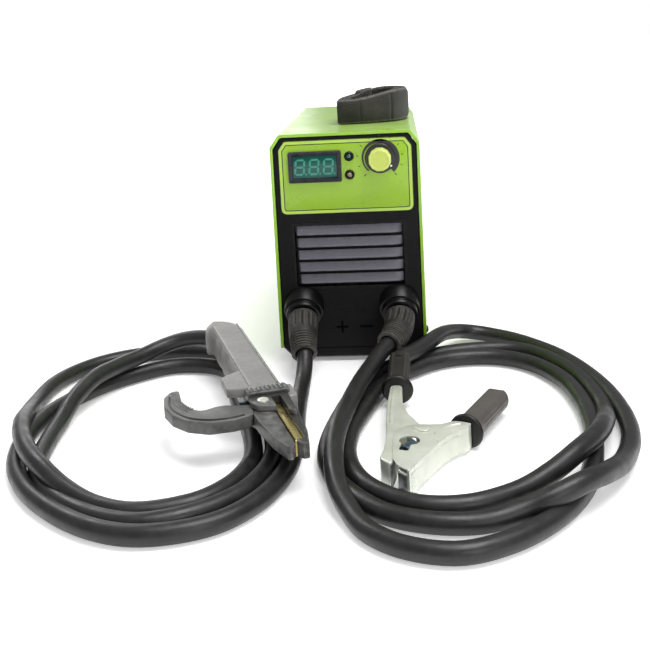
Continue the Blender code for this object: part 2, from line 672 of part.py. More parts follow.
def feet():
    for i, (x, y) in enumerate(((-48, FRONT + 20), (48, FRONT + 20), (-48, BACK - 20), (48, BACK - 20))):
        turned(f"foot_{i + 1}", (x, y, 0), (0, 0, 1), [(0, 6.5), (FLOOR_GAP - GAP, 7.5)], "foot_rubber", 16)


def strap():
    """The shoulder strap, rolled up and standing on its edge, taller at its far end."""
    outer = [(-9, 62), (10, 61), (32, 65), (46, 72), (55, 86), (58, 104), (56, 122), (48, 134), (34, 138),
             (16, 133), (2, 124), (-6, 112), (-10, 92)]
    core = (27.0, 98.0)
    wall = 0.43
    inner = [(x + (core[0] - x) * wall, y + (core[1] - y) * wall) for x, y in outer]
    rings = []
    for line, is_top in ((outer, False), (outer, True), (inner, True), (inner, False)):
        ring = []
        for x, y in line:
            rise = 23.0 + 6.0 * min(1.0, max(0.0, (x - 5.0) / 50.0))
            ring.append(Vector((*ahead_of_panel((x, y)), HEIGHT + (rise if is_top else GAP))))
        rings.append(ring)
    finish("strap", loft(rings, hollow=True), "strap_webbing")


def strap_bracket():
    """The flat loop at the back of the cover that the strap's end passes through."""
    y = 84.0
    obj = box("strap_bracket", (-16, y, HEIGHT + GAP), (16, y + 14, HEIGHT + GAP + 1.5), "tray_steel")
    for x0, x1 in ((-16, -12), (12, 16)):
        add(obj, slab((x0, y + 5, HEIGHT + 1), (x1, y + 9, HEIGHT + 9)))
    add(obj, slab((-16, y + 5, HEIGHT + 7.2), (16, y + 9, HEIGHT + 9.5)))


# ---------------------------------------------------------------- electrode holder

def plan_block(outline, z0, z1, shift=(0.0, 0.0)):
    points = [ahead_of_panel((x + shift[0], y + shift[1])) for x, y in outline]
    return prism(points, z0, z1)


HOLDER_AXIS = Vector((0.342, -0.940, 0.0)).normalized()


def holder_point(along, aside=0.0, z=HOLDER_Z):
    """A point measured along the holder from its butt, and to its lever's side."""
    butt = Vector(ahead_of_panel((-118, 0, z)))
    side = Vector((HOLDER_AXIS.y, -HOLDER_AXIS.x, 0.0))
    return butt + HOLDER_AXIS * along + side * aside


def holder_block(outline, z0, z1):
    """A prism over a plan outline given along and aside of the holder's axis."""
    return loft([[holder_point(along, aside, z) for along, aside in outline] for z in (z0, z1)])


HOLDER_PIVOT = (200.0, 5.5)
# Along the holder's axis and aside of it; the cable enters at the last, turned end.
HANDLE_PATH = [(177.6, 0), (163, 0), (120, 0), (80, 0), (45, 0), (28, 0), (18.8, 3.9), (14, 11.5)]
GUARD = [(177.6, 7), (174, 27), (150, 27), (140, 12), (140, -8), (177.6, -10)]
COLLAR = [(178.2, 15), (190, 14), (190, -17), (178.2, -16)]
FIXED_JAW = [(178, -17), (178, 9), (186, 3), (191, -3.3), (201, -3.3), (204, -2.6), (266, -2.6),
             (270, -5), (270, -9), (250, -13), (215, -16)]
EAR = [(178, -15), (178, 9), (188, 13.5), (199, 14), (207, 11), (212, -3), (228, -13)]
MOVING_JAW = [(190, 7.5), (192, 0.5), (198, -0.9), (266, -0.9), (271, 2.5), (269, 5.5),
              (250, 10.5), (222, 14), (208, 14.5)]
CONTACT = [(214, -2.3), (264, -2.3), (264, -1.3), (214, -1.3)]
SPRING_LEAF = [(179.4, 9.4), (182.8, 13.2), (181.5, 19.5), (180.4, 19.3), (181.5, 13.6), (179.4, 11)]
# Plan outline of the lever's hooked tail, like the other plan outlines.
LEVER_TAIL = [(-60, -201), (-72, -210), (-89, -215), (-105, -211), (-118, -200), (-127, -185), (-131, -168),
              (-129, -157), (-123, -154), (-116, -176), (-107, -189), (-98, -194), (-90, -187), (-83, -184),
              (-73, -185), (-63, -183)]


def holder():
    """The tong-type electrode holder: handle, fixed jaw, sprung jaw with its lever, and inserts."""
    path = [holder_point(along, aside) for along, aside in HANDLE_PATH]
    radii = [(14.8, 13.8), (14.8, 13.8), (15.0, 14.0), (15.2, 14.2), (15.6, 14.6), (15.8, 14.8), (15.4, 14.4),
             (13.6, 13.4)]
    handle = finish("holder_handle", swept(path, radii, 16, BORE_RADIUS + 0.6, 11.0), "holder_grey")
    add(handle, holder_block(GUARD, HOLDER_Z + 5.8, HOLDER_Z + 13.0))
    head = finish("holder_head", holder_block(FIXED_JAW, HOLDER_Z - 5.5, HOLDER_Z + 5.5), "holder_dark")
    for outline, outside in ((EAR, 9.5), (COLLAR, 12.5)):
        for z0, z1 in ((HOLDER_Z - outside, HOLDER_Z - 5.1), (HOLDER_Z + 5.1, HOLDER_Z + outside)):
            add(head, holder_block(outline, z0, z1))
    lever = finish("holder_lever", holder_block(MOVING_JAW, HOLDER_Z - 4.7, HOLDER_Z + 4.7), "holder_grey")
    add(lever, plan_block(LEVER_TAIL, HOLDER_Z - 4.7, HOLDER_Z + 4.7))
    for obj in (head, lever):
        cut(obj, rod(holder_point(*HOLDER_PIVOT, 10), holder_point(*HOLDER_PIVOT, 50), 2.8, 12))
    turned("holder_pivot_pin", holder_point(*HOLDER_PIVOT, HOLDER_Z - 11.3), (0, 0, 1),
           [(0, 4.2), (1.5, 4.2), (1.5, 2.4), (21.1, 2.4), (21.1, 4.2), (22.6, 3.4)], "zinc_steel", 12)
    finish("holder_contact", holder_block(CONTACT, HOLDER_Z - 5.5, HOLDER_Z + 5.5), "brass")
    finish("holder_spring", holder_block(SPRING_LEAF, HOLDER_Z - 3.5, HOLDER_Z + 3.5), "dark_steel")


# Plan outlines of the clamp's two arms.
ARM_FIXED = [(33, -112), (30.5, -150), (30, -185), (30.5, -205), (29, -225), (26, -240), (34, -250),
             (37, -233), (38, -215), (39, -203), (43, -195), (51, -194), (50, -207), (62, -207),
             (63, -194), (54, -187), (46, -167), (42, -145), (42, -112)]
ARM_MOVING = [(78, -184.5), (88.5, -189.6), (86, -196), (80, -200.5), (73, -208), (66, -219),
              (60, -231), (52, -247), (45, -263), (36.5, -253), (42, -240), (48, -228), (52, -218),
              (50.5, -207), (50.5, -194), (57, -190.5), (66, -195), (74, -187)]
CLAMP_SPRING = (46.0, -216.5)


def clamp():
    """Two pressed channels on one rivet, a spring that closes them, and a rubber grip on each."""
    fixed = finish("clamp_arm_fixed", plan_block(ARM_FIXED, CLAMP_BOTTOM, CLAMP_TOP), "zinc_steel")
    cut(fixed, plan_block(ARM_FIXED, CLAMP_BOTTOM + 1.5, CLAMP_TOP - 1.5, (1.8, 1.0)))
    swinging = plan_block(ARM_MOVING, CLAMP_BOTTOM + 1.8, CLAMP_TOP - 1.8)
    moving = finish("clamp_arm_moving", swinging, "zinc_steel")
    cut(moving, plan_block(ARM_MOVING, CLAMP_BOTTOM + 3.3, CLAMP_TOP - 3.3, (-1.7, 1.0)))
    lap = [(48, -210), (72, -210), (72, -186), (48, -186)]
    cut(fixed, plan_block(lap, CLAMP_BOTTOM + 1.5, CLAMP_TOP - 1.5))
    x, y = ahead_of_panel(CLAMP_PIVOT)
    for arm in (fixed, moving):
        cut(arm, rod((x, y, -5), (x, y, 30), 3.0, 16))
    upper = CLAMP_TOP + GAP
    turned("clamp_rivet", (x, y, 0.1), (0, 0, 1),
           [(0, 4.6), (0.9, 4.6), (0.9, 2.6), (upper, 2.6), (upper, 4.6), (upper + 1.1, 3.6)],
           "zinc_steel", 16)
    x, y = ahead_of_panel(CLAMP_SPRING)
    turned("clamp_spring", (x, y, CLAMP_BOTTOM + 2.2), (0, 0, 1), [(0, 5.1), (15.0, 5.1)], "dark_steel", 16)
    clamp_grip("clamp_grip_fixed", (38.2, -111.5, 14.2), (40.9, -62.0, 23.0), 8.7, True)
    clamp_grip("clamp_grip_moving", (84.6, -186.5, 12.6), (114.0, -123.0, 12.6), 9.4, False)


def clamp_grip(name, ring_end, butt, radius, has_cable):
    """A rubber sleeve with a guard flange at the jaw end; the lead enters the fixed one."""
    start = Vector(ahead_of_panel(ring_end))
    end = Vector(ahead_of_panel(butt))
    ahead = (end - start).normalized()
    start = start + ahead * 0.6
    shares = ((0.0, 12.2), (5.0, 12.4), (5.6, radius + 0.6), (12.0, radius))
    length = (end - start).length
    path = [start + ahead * along for along, _ in shares] + [start + ahead * (length - 6), end]
    end_radius = radius if has_cable else radius * 0.85
    radii = [(r * 0.95, r) for _, r in shares] + [(radius, radius), (end_radius, end_radius)]
    bore = BORE_RADIUS + 0.6 if has_cable else 0.0
    finish(name, swept(path, radii, 16, bore, 8.0), "grip_rubber")


# ---------------------------------------------------------------- the whole object

def main():
    clear_scene()
    cover()
    base_tray()
    front_panel()
    louvre_grille()
    control_plate()
    display()
    lamp("power_lamp", POWER_LED, "lens_green")
    lamp("fault_lamp", FAULT_LED, "lens_amber")
    current_control()
    for kind, side in (("positive", -1), ("negative", 1)):
        socket_and_plug(kind, side)
    lead("electrode_lead", ELECTRODE_ROUTE)
    lead("earth_lead", EARTH_ROUTE)
    rear_panel()
    fan()
    power_switch()
    mains_inlet()
    inside()
    feet()
    strap()
    strap_bracket()
    holder()
    clamp()


main()
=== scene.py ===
"""The looks of a portable stick welding inverter, with its leads, electrode holder and earth clamp.

Sizes are in millimetres and the meshes in metres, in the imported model's frame: X to the machine's
right, Y to its back, Z up, with the floor at Z = 0.
"""

import math

import bmesh
import bpy
from mathutils import Matrix, Vector


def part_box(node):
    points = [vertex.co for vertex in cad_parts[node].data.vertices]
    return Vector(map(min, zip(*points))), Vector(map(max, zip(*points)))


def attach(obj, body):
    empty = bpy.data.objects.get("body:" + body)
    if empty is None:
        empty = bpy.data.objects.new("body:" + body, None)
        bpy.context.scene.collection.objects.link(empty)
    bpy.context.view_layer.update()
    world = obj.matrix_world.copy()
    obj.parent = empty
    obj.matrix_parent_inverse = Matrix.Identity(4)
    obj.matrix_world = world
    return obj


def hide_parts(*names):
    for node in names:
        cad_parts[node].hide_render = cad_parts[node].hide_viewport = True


MM = 0.001
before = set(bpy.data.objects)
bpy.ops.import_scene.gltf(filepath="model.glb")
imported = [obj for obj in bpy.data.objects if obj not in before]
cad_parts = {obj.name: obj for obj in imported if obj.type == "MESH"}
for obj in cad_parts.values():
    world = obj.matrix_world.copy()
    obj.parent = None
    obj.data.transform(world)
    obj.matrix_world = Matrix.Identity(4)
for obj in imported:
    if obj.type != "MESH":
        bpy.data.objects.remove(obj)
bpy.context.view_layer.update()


def box_mm(node):
    low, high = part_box(node)
    return low / MM, high / MM


def face_centre(node):
    """The middle of a node's box as seen from the front: X and Z."""
    low, high = box_mm(node)
    return (low.x + high.x) / 2, (low.z + high.z) / 2


# ---- the machine's case, from the frame ----
CASE_LOW, CASE_HIGH = box_mm("cover")
HALF_WIDTH = CASE_HIGH.x
TOP = CASE_HIGH.z
FRONT, BACK = CASE_LOW.y, CASE_HIGH.y
COVER_FOOT = CASE_LOW.z
SHEET = 1.2
GAP = 0.3
CHAMFER_SIDE, CHAMFER_DROP = 8.0, 11.0
PANEL_INSET = 3.0
PANEL_FACE = FRONT + 1.0
PANEL_THICK = 3.0
REAR_FACE = BACK - 1.0
REAR_CUT = 9.0

# ---- what sits on the front ----
PLATE_LOW, PLATE_HIGH = box_mm("control_plate")
PLATE_FACE = PLATE_LOW.y
PRINT_FACE, PRINT_BACK = PLATE_FACE - 0.06, PLATE_FACE + 0.1
LOUVRE_LOW, LOUVRE_HIGH = box_mm("louvre_grille")
KNOB_CENTRE = face_centre("current_knob")
KNOB_BASE = box_mm("current_knob")[1].y
POINTER_ANGLE = 126.0
SOCKET_X, SOCKET_Z = 42.0, 52.0
SOCKET_TILT = math.radians(30.0)
SOCKET_RADIUS = 12.4
BOSS = 10.0

# ---- leads, holder and clamp ----
LEAD_DIAMETER = 13.4
SLEEVE_RADIUS = 13.0
BORE_RADIUS = 7.8
HOLDER_Z = 30.0
CLAMP_BOTTOM, CLAMP_TOP = 1.4, 19.6
CLAMP_PIVOT = (56.0, -199.0)

# The leads' routes, as in the model: X, Y ahead of the panel's foot (negative) and Z.
ELECTRODE_ROUTE = [
    (-40, -40.5, 28.6), (-39, -48, 24), (-38.4, -55, 19.4), (-38.5, -68, 12.4), (-39, -86, 8),
    (-38, -130, 7), (-35, -175, 7), (-34, -212, 7), (-38, -242, 7), (-49, -272, 7), (-68, -297, 7),
    (-93, -310, 7), (-121, -313, 7), (-150, -303, 7), (-180, -281, 7), (-206, -253, 7),
    (-226, -218, 7), (-236, -178, 7), (-236, -138, 7), (-225, -98, 7), (-206, -64, 7),
    (-184, -40, 7), (-161, -24, 7), (-137, -22, 7), (-115, -31, 7), (-101, -51, 7),
    (-88, -104, 7), (-71, -160, 7), (-62, -200, 7), (-62, -226, 7), (-71, -253, 7),
    (-90, -275, 7), (-123, -286, 7), (-152, -278, 8), (-176, -263, 12), (-197, -245, 18),
    (-214, -224, 20.6), (-228, -198, 20.6), (-238, -172, 19), (-246, -142, 13),
    (-253, -104, 7.4), (-253, -64, 7), (-242, -31, 7), (-222, -6, 7), (-194, 10, 7),
    (-163, 16, 7), (-134, 12, 7), (-112, -2, 7), (-98, -23, 7), (-84, -60, 7),
    (-68, -116, 7), (-52, -174, 7), (-47.5, -208, 7), (-51, -236, 7), (-62, -263, 7),
    (-84, -286, 7), (-114, -299, 7), (-142, -294, 7), (-172, -275, 7), (-196, -248, 7),
    (-211, -216, 7), (-217, -178, 7), (-219, -144, 8), (-217, -114, 15), (-209, -85, 20.6),
    (-197, -58, 20.8), (-183, -37, 21.4), (-168, -21, 24.4), (-152, -14, 27.8), (-138, -14.3, 29.7),
    (-124, -17, 30), (-115.2, -18.9, 30),
]
EARTH_ROUTE = [
    (35.7, -40.3, 32.7), (31.8, -48.2, 31), (27, -57, 28.8), (18.5, -78, 24), (9, -112, 21),
    (2, -155, 20.6), (-3, -196, 20.4), (-4, -232, 18), (0, -264, 13), (9, -289, 8.5),
    (20, -310, 7), (42, -328, 7), (71, -334, 7), (98, -323, 7), (122, -303, 7),
    (143, -276, 7), (158, -244, 7), (168, -206, 7), (175, -163, 7), (176, -118, 7),
    (170, -75, 7), (152, -38, 7), (126, -19, 7), (95, -17, 7), (70, -27, 7),
    (52, -43, 7), (37, -60, 7), (24, -90, 7), (13.5, -126, 7), (4.5, -168, 7), (3.5, -208, 7),
    (12, -242, 7), (28, -265, 7), (52, -280, 7), (82, -279, 7), (112, -264, 8),
    (134, -249, 13), (153, -233, 19.5), (169, -211, 20.6), (180, -182, 17), (187, -150, 9),
    (189, -118, 7), (184, -72, 7), (168, -28, 7), (144, 0, 7), (112, 3, 7),
    (80, -5, 7), (53, -20, 7), (32, -38, 7), (15, -68, 7), (3, -105, 7), (-3.5, -135, 7),
    (-10, -180, 7), (-10, -214, 7), (-3, -243, 7), (12, -270, 7), (32, -291, 7),
    (60, -301, 7), (88, -300, 7), (111, -292, 10), (131, -288, 17), (150, -277, 20.6),
    (168, -255, 16), (184, -224, 9), (197, -184, 7), (201, -140, 7), (196, -84, 7),
    (178, -24, 7), (150, 20, 7), (122, 43, 7.5), (100, 43, 11), (85, 22, 17.5),
    (75, 1, 21.3), (65, -19, 21.5), (53, -38, 21), (46.5, -49, 21.8), (42, -56, 23.2),
    (40.9, -61.6, 23.1), (40.5, -69.2, 21.75),
]
PLUG_MOUTHS = {"positive": (-39.0, -48.0, 24.0), "negative": (31.8, -48.2, 31.0)}


# ---------------------------------------------------------------- mesh tools

def build(name, mesh, look, sharp=34.0):
    """Makes a mesh in millimetres a smooth-shaded object in metres."""
    bmesh.ops.recalc_face_normals(mesh, faces=mesh.faces)
    if mesh.calc_volume(signed=True) < 0:
        bmesh.ops.reverse_faces(mesh, faces=mesh.faces)
    mesh.transform(Matrix.Scale(MM, 4))
    data = bpy.data.meshes.new(name)
    mesh.to_mesh(data)
    mesh.free()
    data.shade_smooth()
    data.set_sharp_from_angle(angle=math.radians(sharp))
    if look:
        data.materials.append(look)
    obj = bpy.data.objects.new(name, data)
    bpy.context.scene.collection.objects.link(obj)
    return obj


def settle(obj, joins=(), cuts=(), sharp=34.0):
    """Joins and cuts the given shapes and keeps the result as the object's own mesh."""
    helpers = []
    for shapes, operation in ((joins, "UNION"), (cuts, "DIFFERENCE")):
        for shape in shapes:
            helpers.append(build("helper", shape, None))
            modifier = obj.modifiers.new(operation.title(), "BOOLEAN")
            modifier.operation = operation
            modifier.solver = "EXACT"
            modifier.object = helpers[-1]
    depsgraph = bpy.context.evaluated_depsgraph_get()
    mesh = bpy.data.meshes.new_from_object(obj.evaluated_get(depsgraph))
    obj.modifiers.clear()
    obj.data = mesh
    mesh.shade_smooth()
    mesh.set_sharp_from_angle(angle=math.radians(sharp))
    for helper in helpers:
        bpy.data.objects.remove(helper, do_unlink=True)
    return obj


def gather(shapes):
    """Several closed shapes in one mesh."""
    whole = bmesh.new()
    for shape in shapes:
        bmesh.ops.recalc_face_normals(shape, faces=shape.faces)
        part = bpy.data.meshes.new("part")
        shape.to_mesh(part)
        shape.free()
        whole.from_mesh(part)
        bpy.data.meshes.remove(part)
    return whole


def loft(rings, hollow=False):
    """A skin through rings of equal point counts, capped, or joined up as a hollow ring."""
    built = bmesh.new()
    rows = [[built.verts.new(point) for point in ring] for ring in rings]
    following = rows[1:] + (rows[:1] if hollow else [])
    count = len(rows[0])
    for row, after in zip(rows, following):
        for i in range(count):
            j = (i + 1) % count
            built.faces.new((row[i], row[j], after[j], after[i]))
    if not hollow:
        built.faces.new(rows[0][::-1])
        built.faces.new(rows[-1])
    return built


def frame_of(direction):
    """Two unit vectors across a direction: sideways and upwards."""
    ahead = Vector(direction).normalized()
    side = ahead.cross(Vector((0, 0, 1)))
    if side.length < 1e-4:
        side = ahead.cross(Vector((0, 1, 0)))
    side.normalize()
    return side, side.cross(ahead)


def ring(centre, direction, radius, sides=64):
    side, upward = frame_of(direction)
    points = []
    for i in range(sides):
        angle = math.tau * i / sides
        points.append(Vector(centre) + side * (radius * math.cos(angle))
                      + upward * (radius * math.sin(angle)))
    return points


def turned(start, direction, profile, sides=64, hollow=False):
    """A turned shape: profile gives (distance along the direction, radius)."""
    ahead = Vector(direction).normalized()
    rings = [ring(Vector(start) + ahead * along, ahead, radius, sides) for along, radius in profile]
    return loft(rings, hollow)


def sweep(path, section, sides=48, bore=None):
    """A skin along a path. section(along, angle) gives the offsets sideways and upwards."""
    points = [Vector(p) for p in path]
    rings = []
    along = 0.0
    for i, point in enumerate(points):
        if i:
            along += (point - points[i - 1]).length
        direction = points[min(i + 1, len(points) - 1)] - points[max(i - 1, 0)]
        side, upward = frame_of(direction)
        row = []
        for k in range(sides):
            across, above = section(along, math.tau * k / sides)
            row.append(point + side * across + upward * above)
        rings.append(row)
    if bore:
        radius, depth = bore
        back = (points[-2] - points[-1]).normalized()
        rings.append(ring(points[-1], -back, radius, sides))
        rings.append(ring(points[-1] + back * depth, -back, radius, sides))
    return loft(rings)


def wire(path, radius, sides=12, closed=False):
    """A round wire along a path; a closed one joins its ends."""
    points = [Vector(p) for p in path]
    count = len(points)
    rings = []
    for i, point in enumerate(points):
        if closed:
            direction = points[(i + 1) % count] - points[i - 1]
        else:
            direction = points[min(i + 1, count - 1)] - points[max(i - 1, 0)]
        rings.append(ring(point, direction, radius, sides))
    return loft(rings, hollow=closed)


def place(a, b, c, axis):
    """A point from an outline's two coordinates and the third one along an axis."""
    return Vector({"Z": (a, b, c), "Y": (a, c, b), "X": (c, a, b)}[axis])


def signed_area(outline):
    total = 0.0
    for (ax, ay), (bx, by) in zip(outline, outline[1:] + outline[:1]):
        total += ax * by - bx * ay
    return total / 2


def inset(outline, distance):
    """The outline moved inwards by a distance."""
    turn = 1.0 if signed_area(outline) > 0 else -1.0
    moved = []
    count = len(outline)
    for i in range(count):
        before, here, after = Vector(outline[i - 1]), Vector(outline[i]), Vector(outline[(i + 1) % count])
        first, second = here - before, after - here
        if first.length < 1e-9:
            first = second
        if second.length < 1e-9:
            second = first
        first.normalize()
        second.normalize()
        normal = Vector((-first.y - second.y, first.x + second.x)) * turn
        if normal.length < 1e-6:
            normal = Vector((-first.y, first.x)) * turn
        normal.normalize()
        stretch = max(0.5, normal.dot(Vector((-first.y, first.x)) * turn))
        moved.append((here.x + normal.x * distance / stretch, here.y + normal.y * distance / stretch))
    return moved


def fillet(points, radius, steps=5):
    """A closed outline with rounded corners; radius is one number, or one for each corner."""
    made = []
    count = len(points)
    for i in range(count):
        before, corner, after = Vector(points[i - 1]), Vector(points[i]), Vector(points[(i + 1) % count])
        reach_wanted = radius[i] if hasattr(radius, "__len__") else radius
        into, out = corner - before, after - corner
        turn = into.angle(out, 0.0)
        if reach_wanted <= 0 or turn < 0.03:
            made.append((corner.x, corner.y))
            continue
        reach = min(reach_wanted * math.tan(turn / 2), 0.45 * into.length, 0.45 * out.length)
        start, end = corner - into.normalized() * reach, corner + out.normalized() * reach
        for k in range(steps + 1):
            t = k / steps
            point = start * (1 - t) ** 2 + corner * (2 * t * (1 - t)) + end * t * t
            made.append((point.x, point.y))
    return made


def rounded_prism(outline, low, high, axis, edge=0.6, steps=3):
    """An outline pushed from low to high, with rounded edges at both ends."""
    rings = []
    for k in range(steps + 1):
        turn = math.pi / 2 * k / steps
        rings.append((inset(outline, edge * (1 - math.sin(turn))), low + edge * (1 - math.cos(turn))))
    rings += [(shape, low + high - level) for shape, level in reversed(rings)]
    return loft([[place(a, b, level, axis) for a, b in shape] for shape, level in rings])


def prism(outline, low, high, axis="Z"):
    return loft([[place(a, b, c, axis) for a, b in outline] for c in (low, high)])


def rectangle(x0, x1, z0, z1):
    return [(x0, z0), (x1, z0), (x1, z1), (x0, z1)]


def box_outline(low, high, margin=0.0):
    """A box's outline as seen from the front, grown by a margin."""
    return rectangle(low.x - margin, high.x + margin, low.z - margin, high.z + margin)


def disc(cx, cz, radius, sides=48):
    return [(cx + radius * math.cos(math.tau * i / sides), cz + radius * math.sin(math.tau * i / sides))
            for i in range(sides)]


def frame_ring(outer, inner, low, high, axis):
    """A flat ring between two outlines of the same point count."""
    rows = []
    for outline, level in ((outer, low), (outer, high), (inner, high), (inner, low)):
        rows.append([place(a, b, level, axis) for a, b in outline])
    return loft(rows, hollow=True)


def slab(low, high, edge=0.0):
    outline = rectangle(low[0], high[0], low[1], high[1])
    if edge:
        return rounded_prism(fillet(outline, edge * 1.5, 3), low[2], high[2], "Z", edge)
    return prism(outline, low[2], high[2])


def rod(start, end, radius, sides=48):
    direction = Vector(end) - Vector(start)
    return loft([ring(start, direction, radius, sides), ring(end, direction, radius, sides)])


def smooth_path(points, count):
    """Even steps along a Catmull-Rom curve through the points."""
    knots = [Vector(p) for p in points]
    padded = [2 * knots[0] - knots[1]] + knots + [2 * knots[-1] - knots[-2]]
    dense = []
    for a, b, c, d in zip(padded, padded[1:], padded[2:], padded[3:]):
        for i in range(12):
            t = i / 12
            dense.append(0.5 * (2 * b + (c - a) * t + (2 * a - 5 * b + 4 * c - d) * t * t
                                + (3 * b - a - 3 * c + d) * t ** 3))
    dense.append(knots[-1])
    lengths = [0.0]
    for p, q in zip(dense, dense[1:]):
        lengths.append(lengths[-1] + (q - p).length)
    path = []
    at = 0
    for i in range(count):
        wanted = lengths[-1] * i / (count - 1)
        while at < len(dense) - 2 and lengths[at + 1] < wanted:
            at += 1
        share = (wanted - lengths[at]) / max(lengths[at + 1] - lengths[at], 1e-9)
        path.append(dense[at].lerp(dense[at + 1], min(max(share, 0.0), 1.0)))
    return path


def ahead_of_panel(point):
    x, y, *rest = point
    return (x, y + FRONT, *rest)


def plan_path(points, z, count):
    """An even path at one height over points given ahead of the panel."""
    return smooth_path([Vector((*ahead_of_panel(point), z)) for point in points], count)


def smoothstep(low, high, value):
    t = min(max((value - low) / (high - low), 0.0), 1.0)
    return t * t * (3 - 2 * t)


LOOKS = {}


def put(obj, body, slot, *nodes):
    """Makes a piece move with its body and hides the nodes it stands for; the slot is not used."""
    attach(obj, body)
    if nodes:
        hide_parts(*nodes)
    return obj


def piece(name, mesh, look, slot, *nodes, body="machine", sharp=34.0, joins=(), cuts=()):
    """A finished piece made from a mesh, with shapes joined to it and cut from it."""
    obj = build(name, mesh, LOOKS[look], sharp)
    if joins or cuts:
        settle(obj, joins, cuts)
    return put(obj, body, slot, *nodes)


# ---------------------------------------------------------------- materials

def rgb(red, green, blue):
    """A colour as seen on a screen, as the linear colour that a shader takes."""
    linear = []
    for value in (red, green, blue):
        value /= 255
        linear.append(value / 12.92 if value <= 0.04045 else ((value + 0.055) / 1.055) ** 2.4)
    return (*linear, 1.0)


class Surface:
    """A Principled material whose colour, roughness and relief come from nodes."""

    def __init__(self, name, colour, roughness=0.5, metallic=0.0, **constants):
        self.material = bpy.data.materials.new(name)
        self.material.use_nodes = True
        self.tree = self.material.node_tree
        self.shader = self.tree.nodes["Principled BSDF"]
        self.colour = colour
        self.roughness = roughness
        self.heights = []
        self.shader.inputs["Metallic"].default_value = metallic
        for socket, value in constants.items():
            self.shader.inputs[socket.replace("_", " ").title().replace("Ior", "IOR")].default_value = value
        self.coords = self.add("ShaderNodeTexCoord").outputs["Object"]

    def add(self, kind, inputs=None, **settings):
        made = self.tree.nodes.new(kind)
        for key, value in settings.items():
            setattr(made, key, value)
        for key, value in (inputs or {}).items():
            if isinstance(value, bpy.types.NodeSocket):
                self.tree.links.new(value, made.inputs[key])
            else:
                made.inputs[key].default_value = value
        return made

    def noise(self, scale, detail=4.0, stretch=(1, 1, 1), coords=None):
        """Noise of about 1 / scale metres, from 0 to 1."""
        mapping = self.add("ShaderNodeMapping", {"Vector": coords or self.coords, "Scale": stretch})
        found = self.add("ShaderNodeTexNoise",
                         {"Vector": mapping.outputs[0], "Scale": scale, "Detail": detail,
                          "Roughness": 0.6})
        return found.outputs["Fac"]

    def ramp(self, value, low, high):
        found = self.add("ShaderNodeMapRange", {"Value": value, "From Min": low, "From Max": high})
        found.clamp = True
        return found.outputs[0]

    def math(self, operation, a, b=0.0):
        return self.add("ShaderNodeMath", {0: a, 1: b}, operation=operation).outputs[0]

    def tint(self, share, colour):
        """Mixes another colour in, by a share from 0 to 1."""
        mix = self.add("ShaderNodeMix", data_type="RGBA")
        for index, value in ((0, share), (6, self.colour), (7, colour)):
            if isinstance(value, bpy.types.NodeSocket):
                self.tree.links.new(value, mix.inputs[index])
            else:
                mix.inputs[index].default_value = value
        self.colour = mix.outputs[2]
        return self

    def mottle(self, scale, colour, amount=0.5, detail=4.0, stretch=(1, 1, 1)):
        value = self.ramp(self.noise(scale, detail, stretch), 0.35, 0.7)
        return self.tint(self.math("MULTIPLY", value, amount), colour)

    def edge_wear(self, colour, amount=0.5, low=0.505, high=0.56):
        value = self.ramp(self.add("ShaderNodeNewGeometry").outputs["Pointiness"], low, high)
        patchy = self.math("MULTIPLY", value, self.ramp(self.noise(160.0), 0.3, 0.6))
        return self.tint(self.math("MULTIPLY", patchy, amount), colour)

    def dust_and_top_sheen(self, colour, amount=0.25):
        """Pale dust and a painted sheen on faces that look up."""
        normal = self.add("ShaderNodeSeparateXYZ", {0: self.add("ShaderNodeNewGeometry").outputs["Normal"]})
        up = self.ramp(normal.outputs["Z"], 0.3, 1.0)
        patchy = self.math("MULTIPLY", up, self.ramp(self.noise(60.0, 8.0), 0.0, 0.75))
        return self.tint(self.math("MULTIPLY", patchy, amount), colour)

    def vary_roughness(self, scale, spread, detail=5.0, stretch=(1, 1, 1)):
        value = self.noise(scale, detail, stretch)
        found = self.add("ShaderNodeMapRange", {"Value": value, "From Min": 0.3, "From Max": 0.7,
                                                "To Min": self.roughness - spread,
                                                "To Max": self.roughness + spread})
        self.roughness = found.outputs[0]
        return self

    def relief(self, value, depth_mm):
        self.heights.append((value, depth_mm))
        return self

    def grain(self, scale, depth_mm, detail=3.0, stretch=(1, 1, 1)):
        return self.relief(self.noise(scale, detail, stretch), depth_mm)

    def done(self):
        for socket, value in (("Base Color", self.colour), ("Roughness", self.roughness)):
            if isinstance(value, bpy.types.NodeSocket):
                self.tree.links.new(value, self.shader.inputs[socket])
            else:
                self.shader.inputs[socket].default_value = value
        normal = None
        for height, depth_mm in self.heights:
            bump = self.add("ShaderNodeBump",
                            {"Height": height, "Distance": depth_mm * MM, "Strength": 1.0})
            if normal:
                self.tree.links.new(normal, bump.inputs["Normal"])
            normal = bump.outputs[0]
        if normal:
            self.tree.links.new(normal, self.shader.inputs["Normal"])
        return self.material


def surface(name, colour, roughness, metallic=0.0, mottle=(), wear=None, spread=None, grain=(),
            **constants):
    """An ordinary look: mottled colour, worn edges, uneven roughness and fine relief."""
    made = Surface(name, rgb(*colour), roughness, metallic, **constants)
    for scale, tint, *rest in mottle:
        made.mottle(scale, rgb(*tint), *rest)
    if wear:
        made.edge_wear(rgb(*wear[0]), *wear[1:])
    if spread:
        made.vary_roughness(*spread)
    for layer in grain:
        made.grain(*layer)
    return made.done()


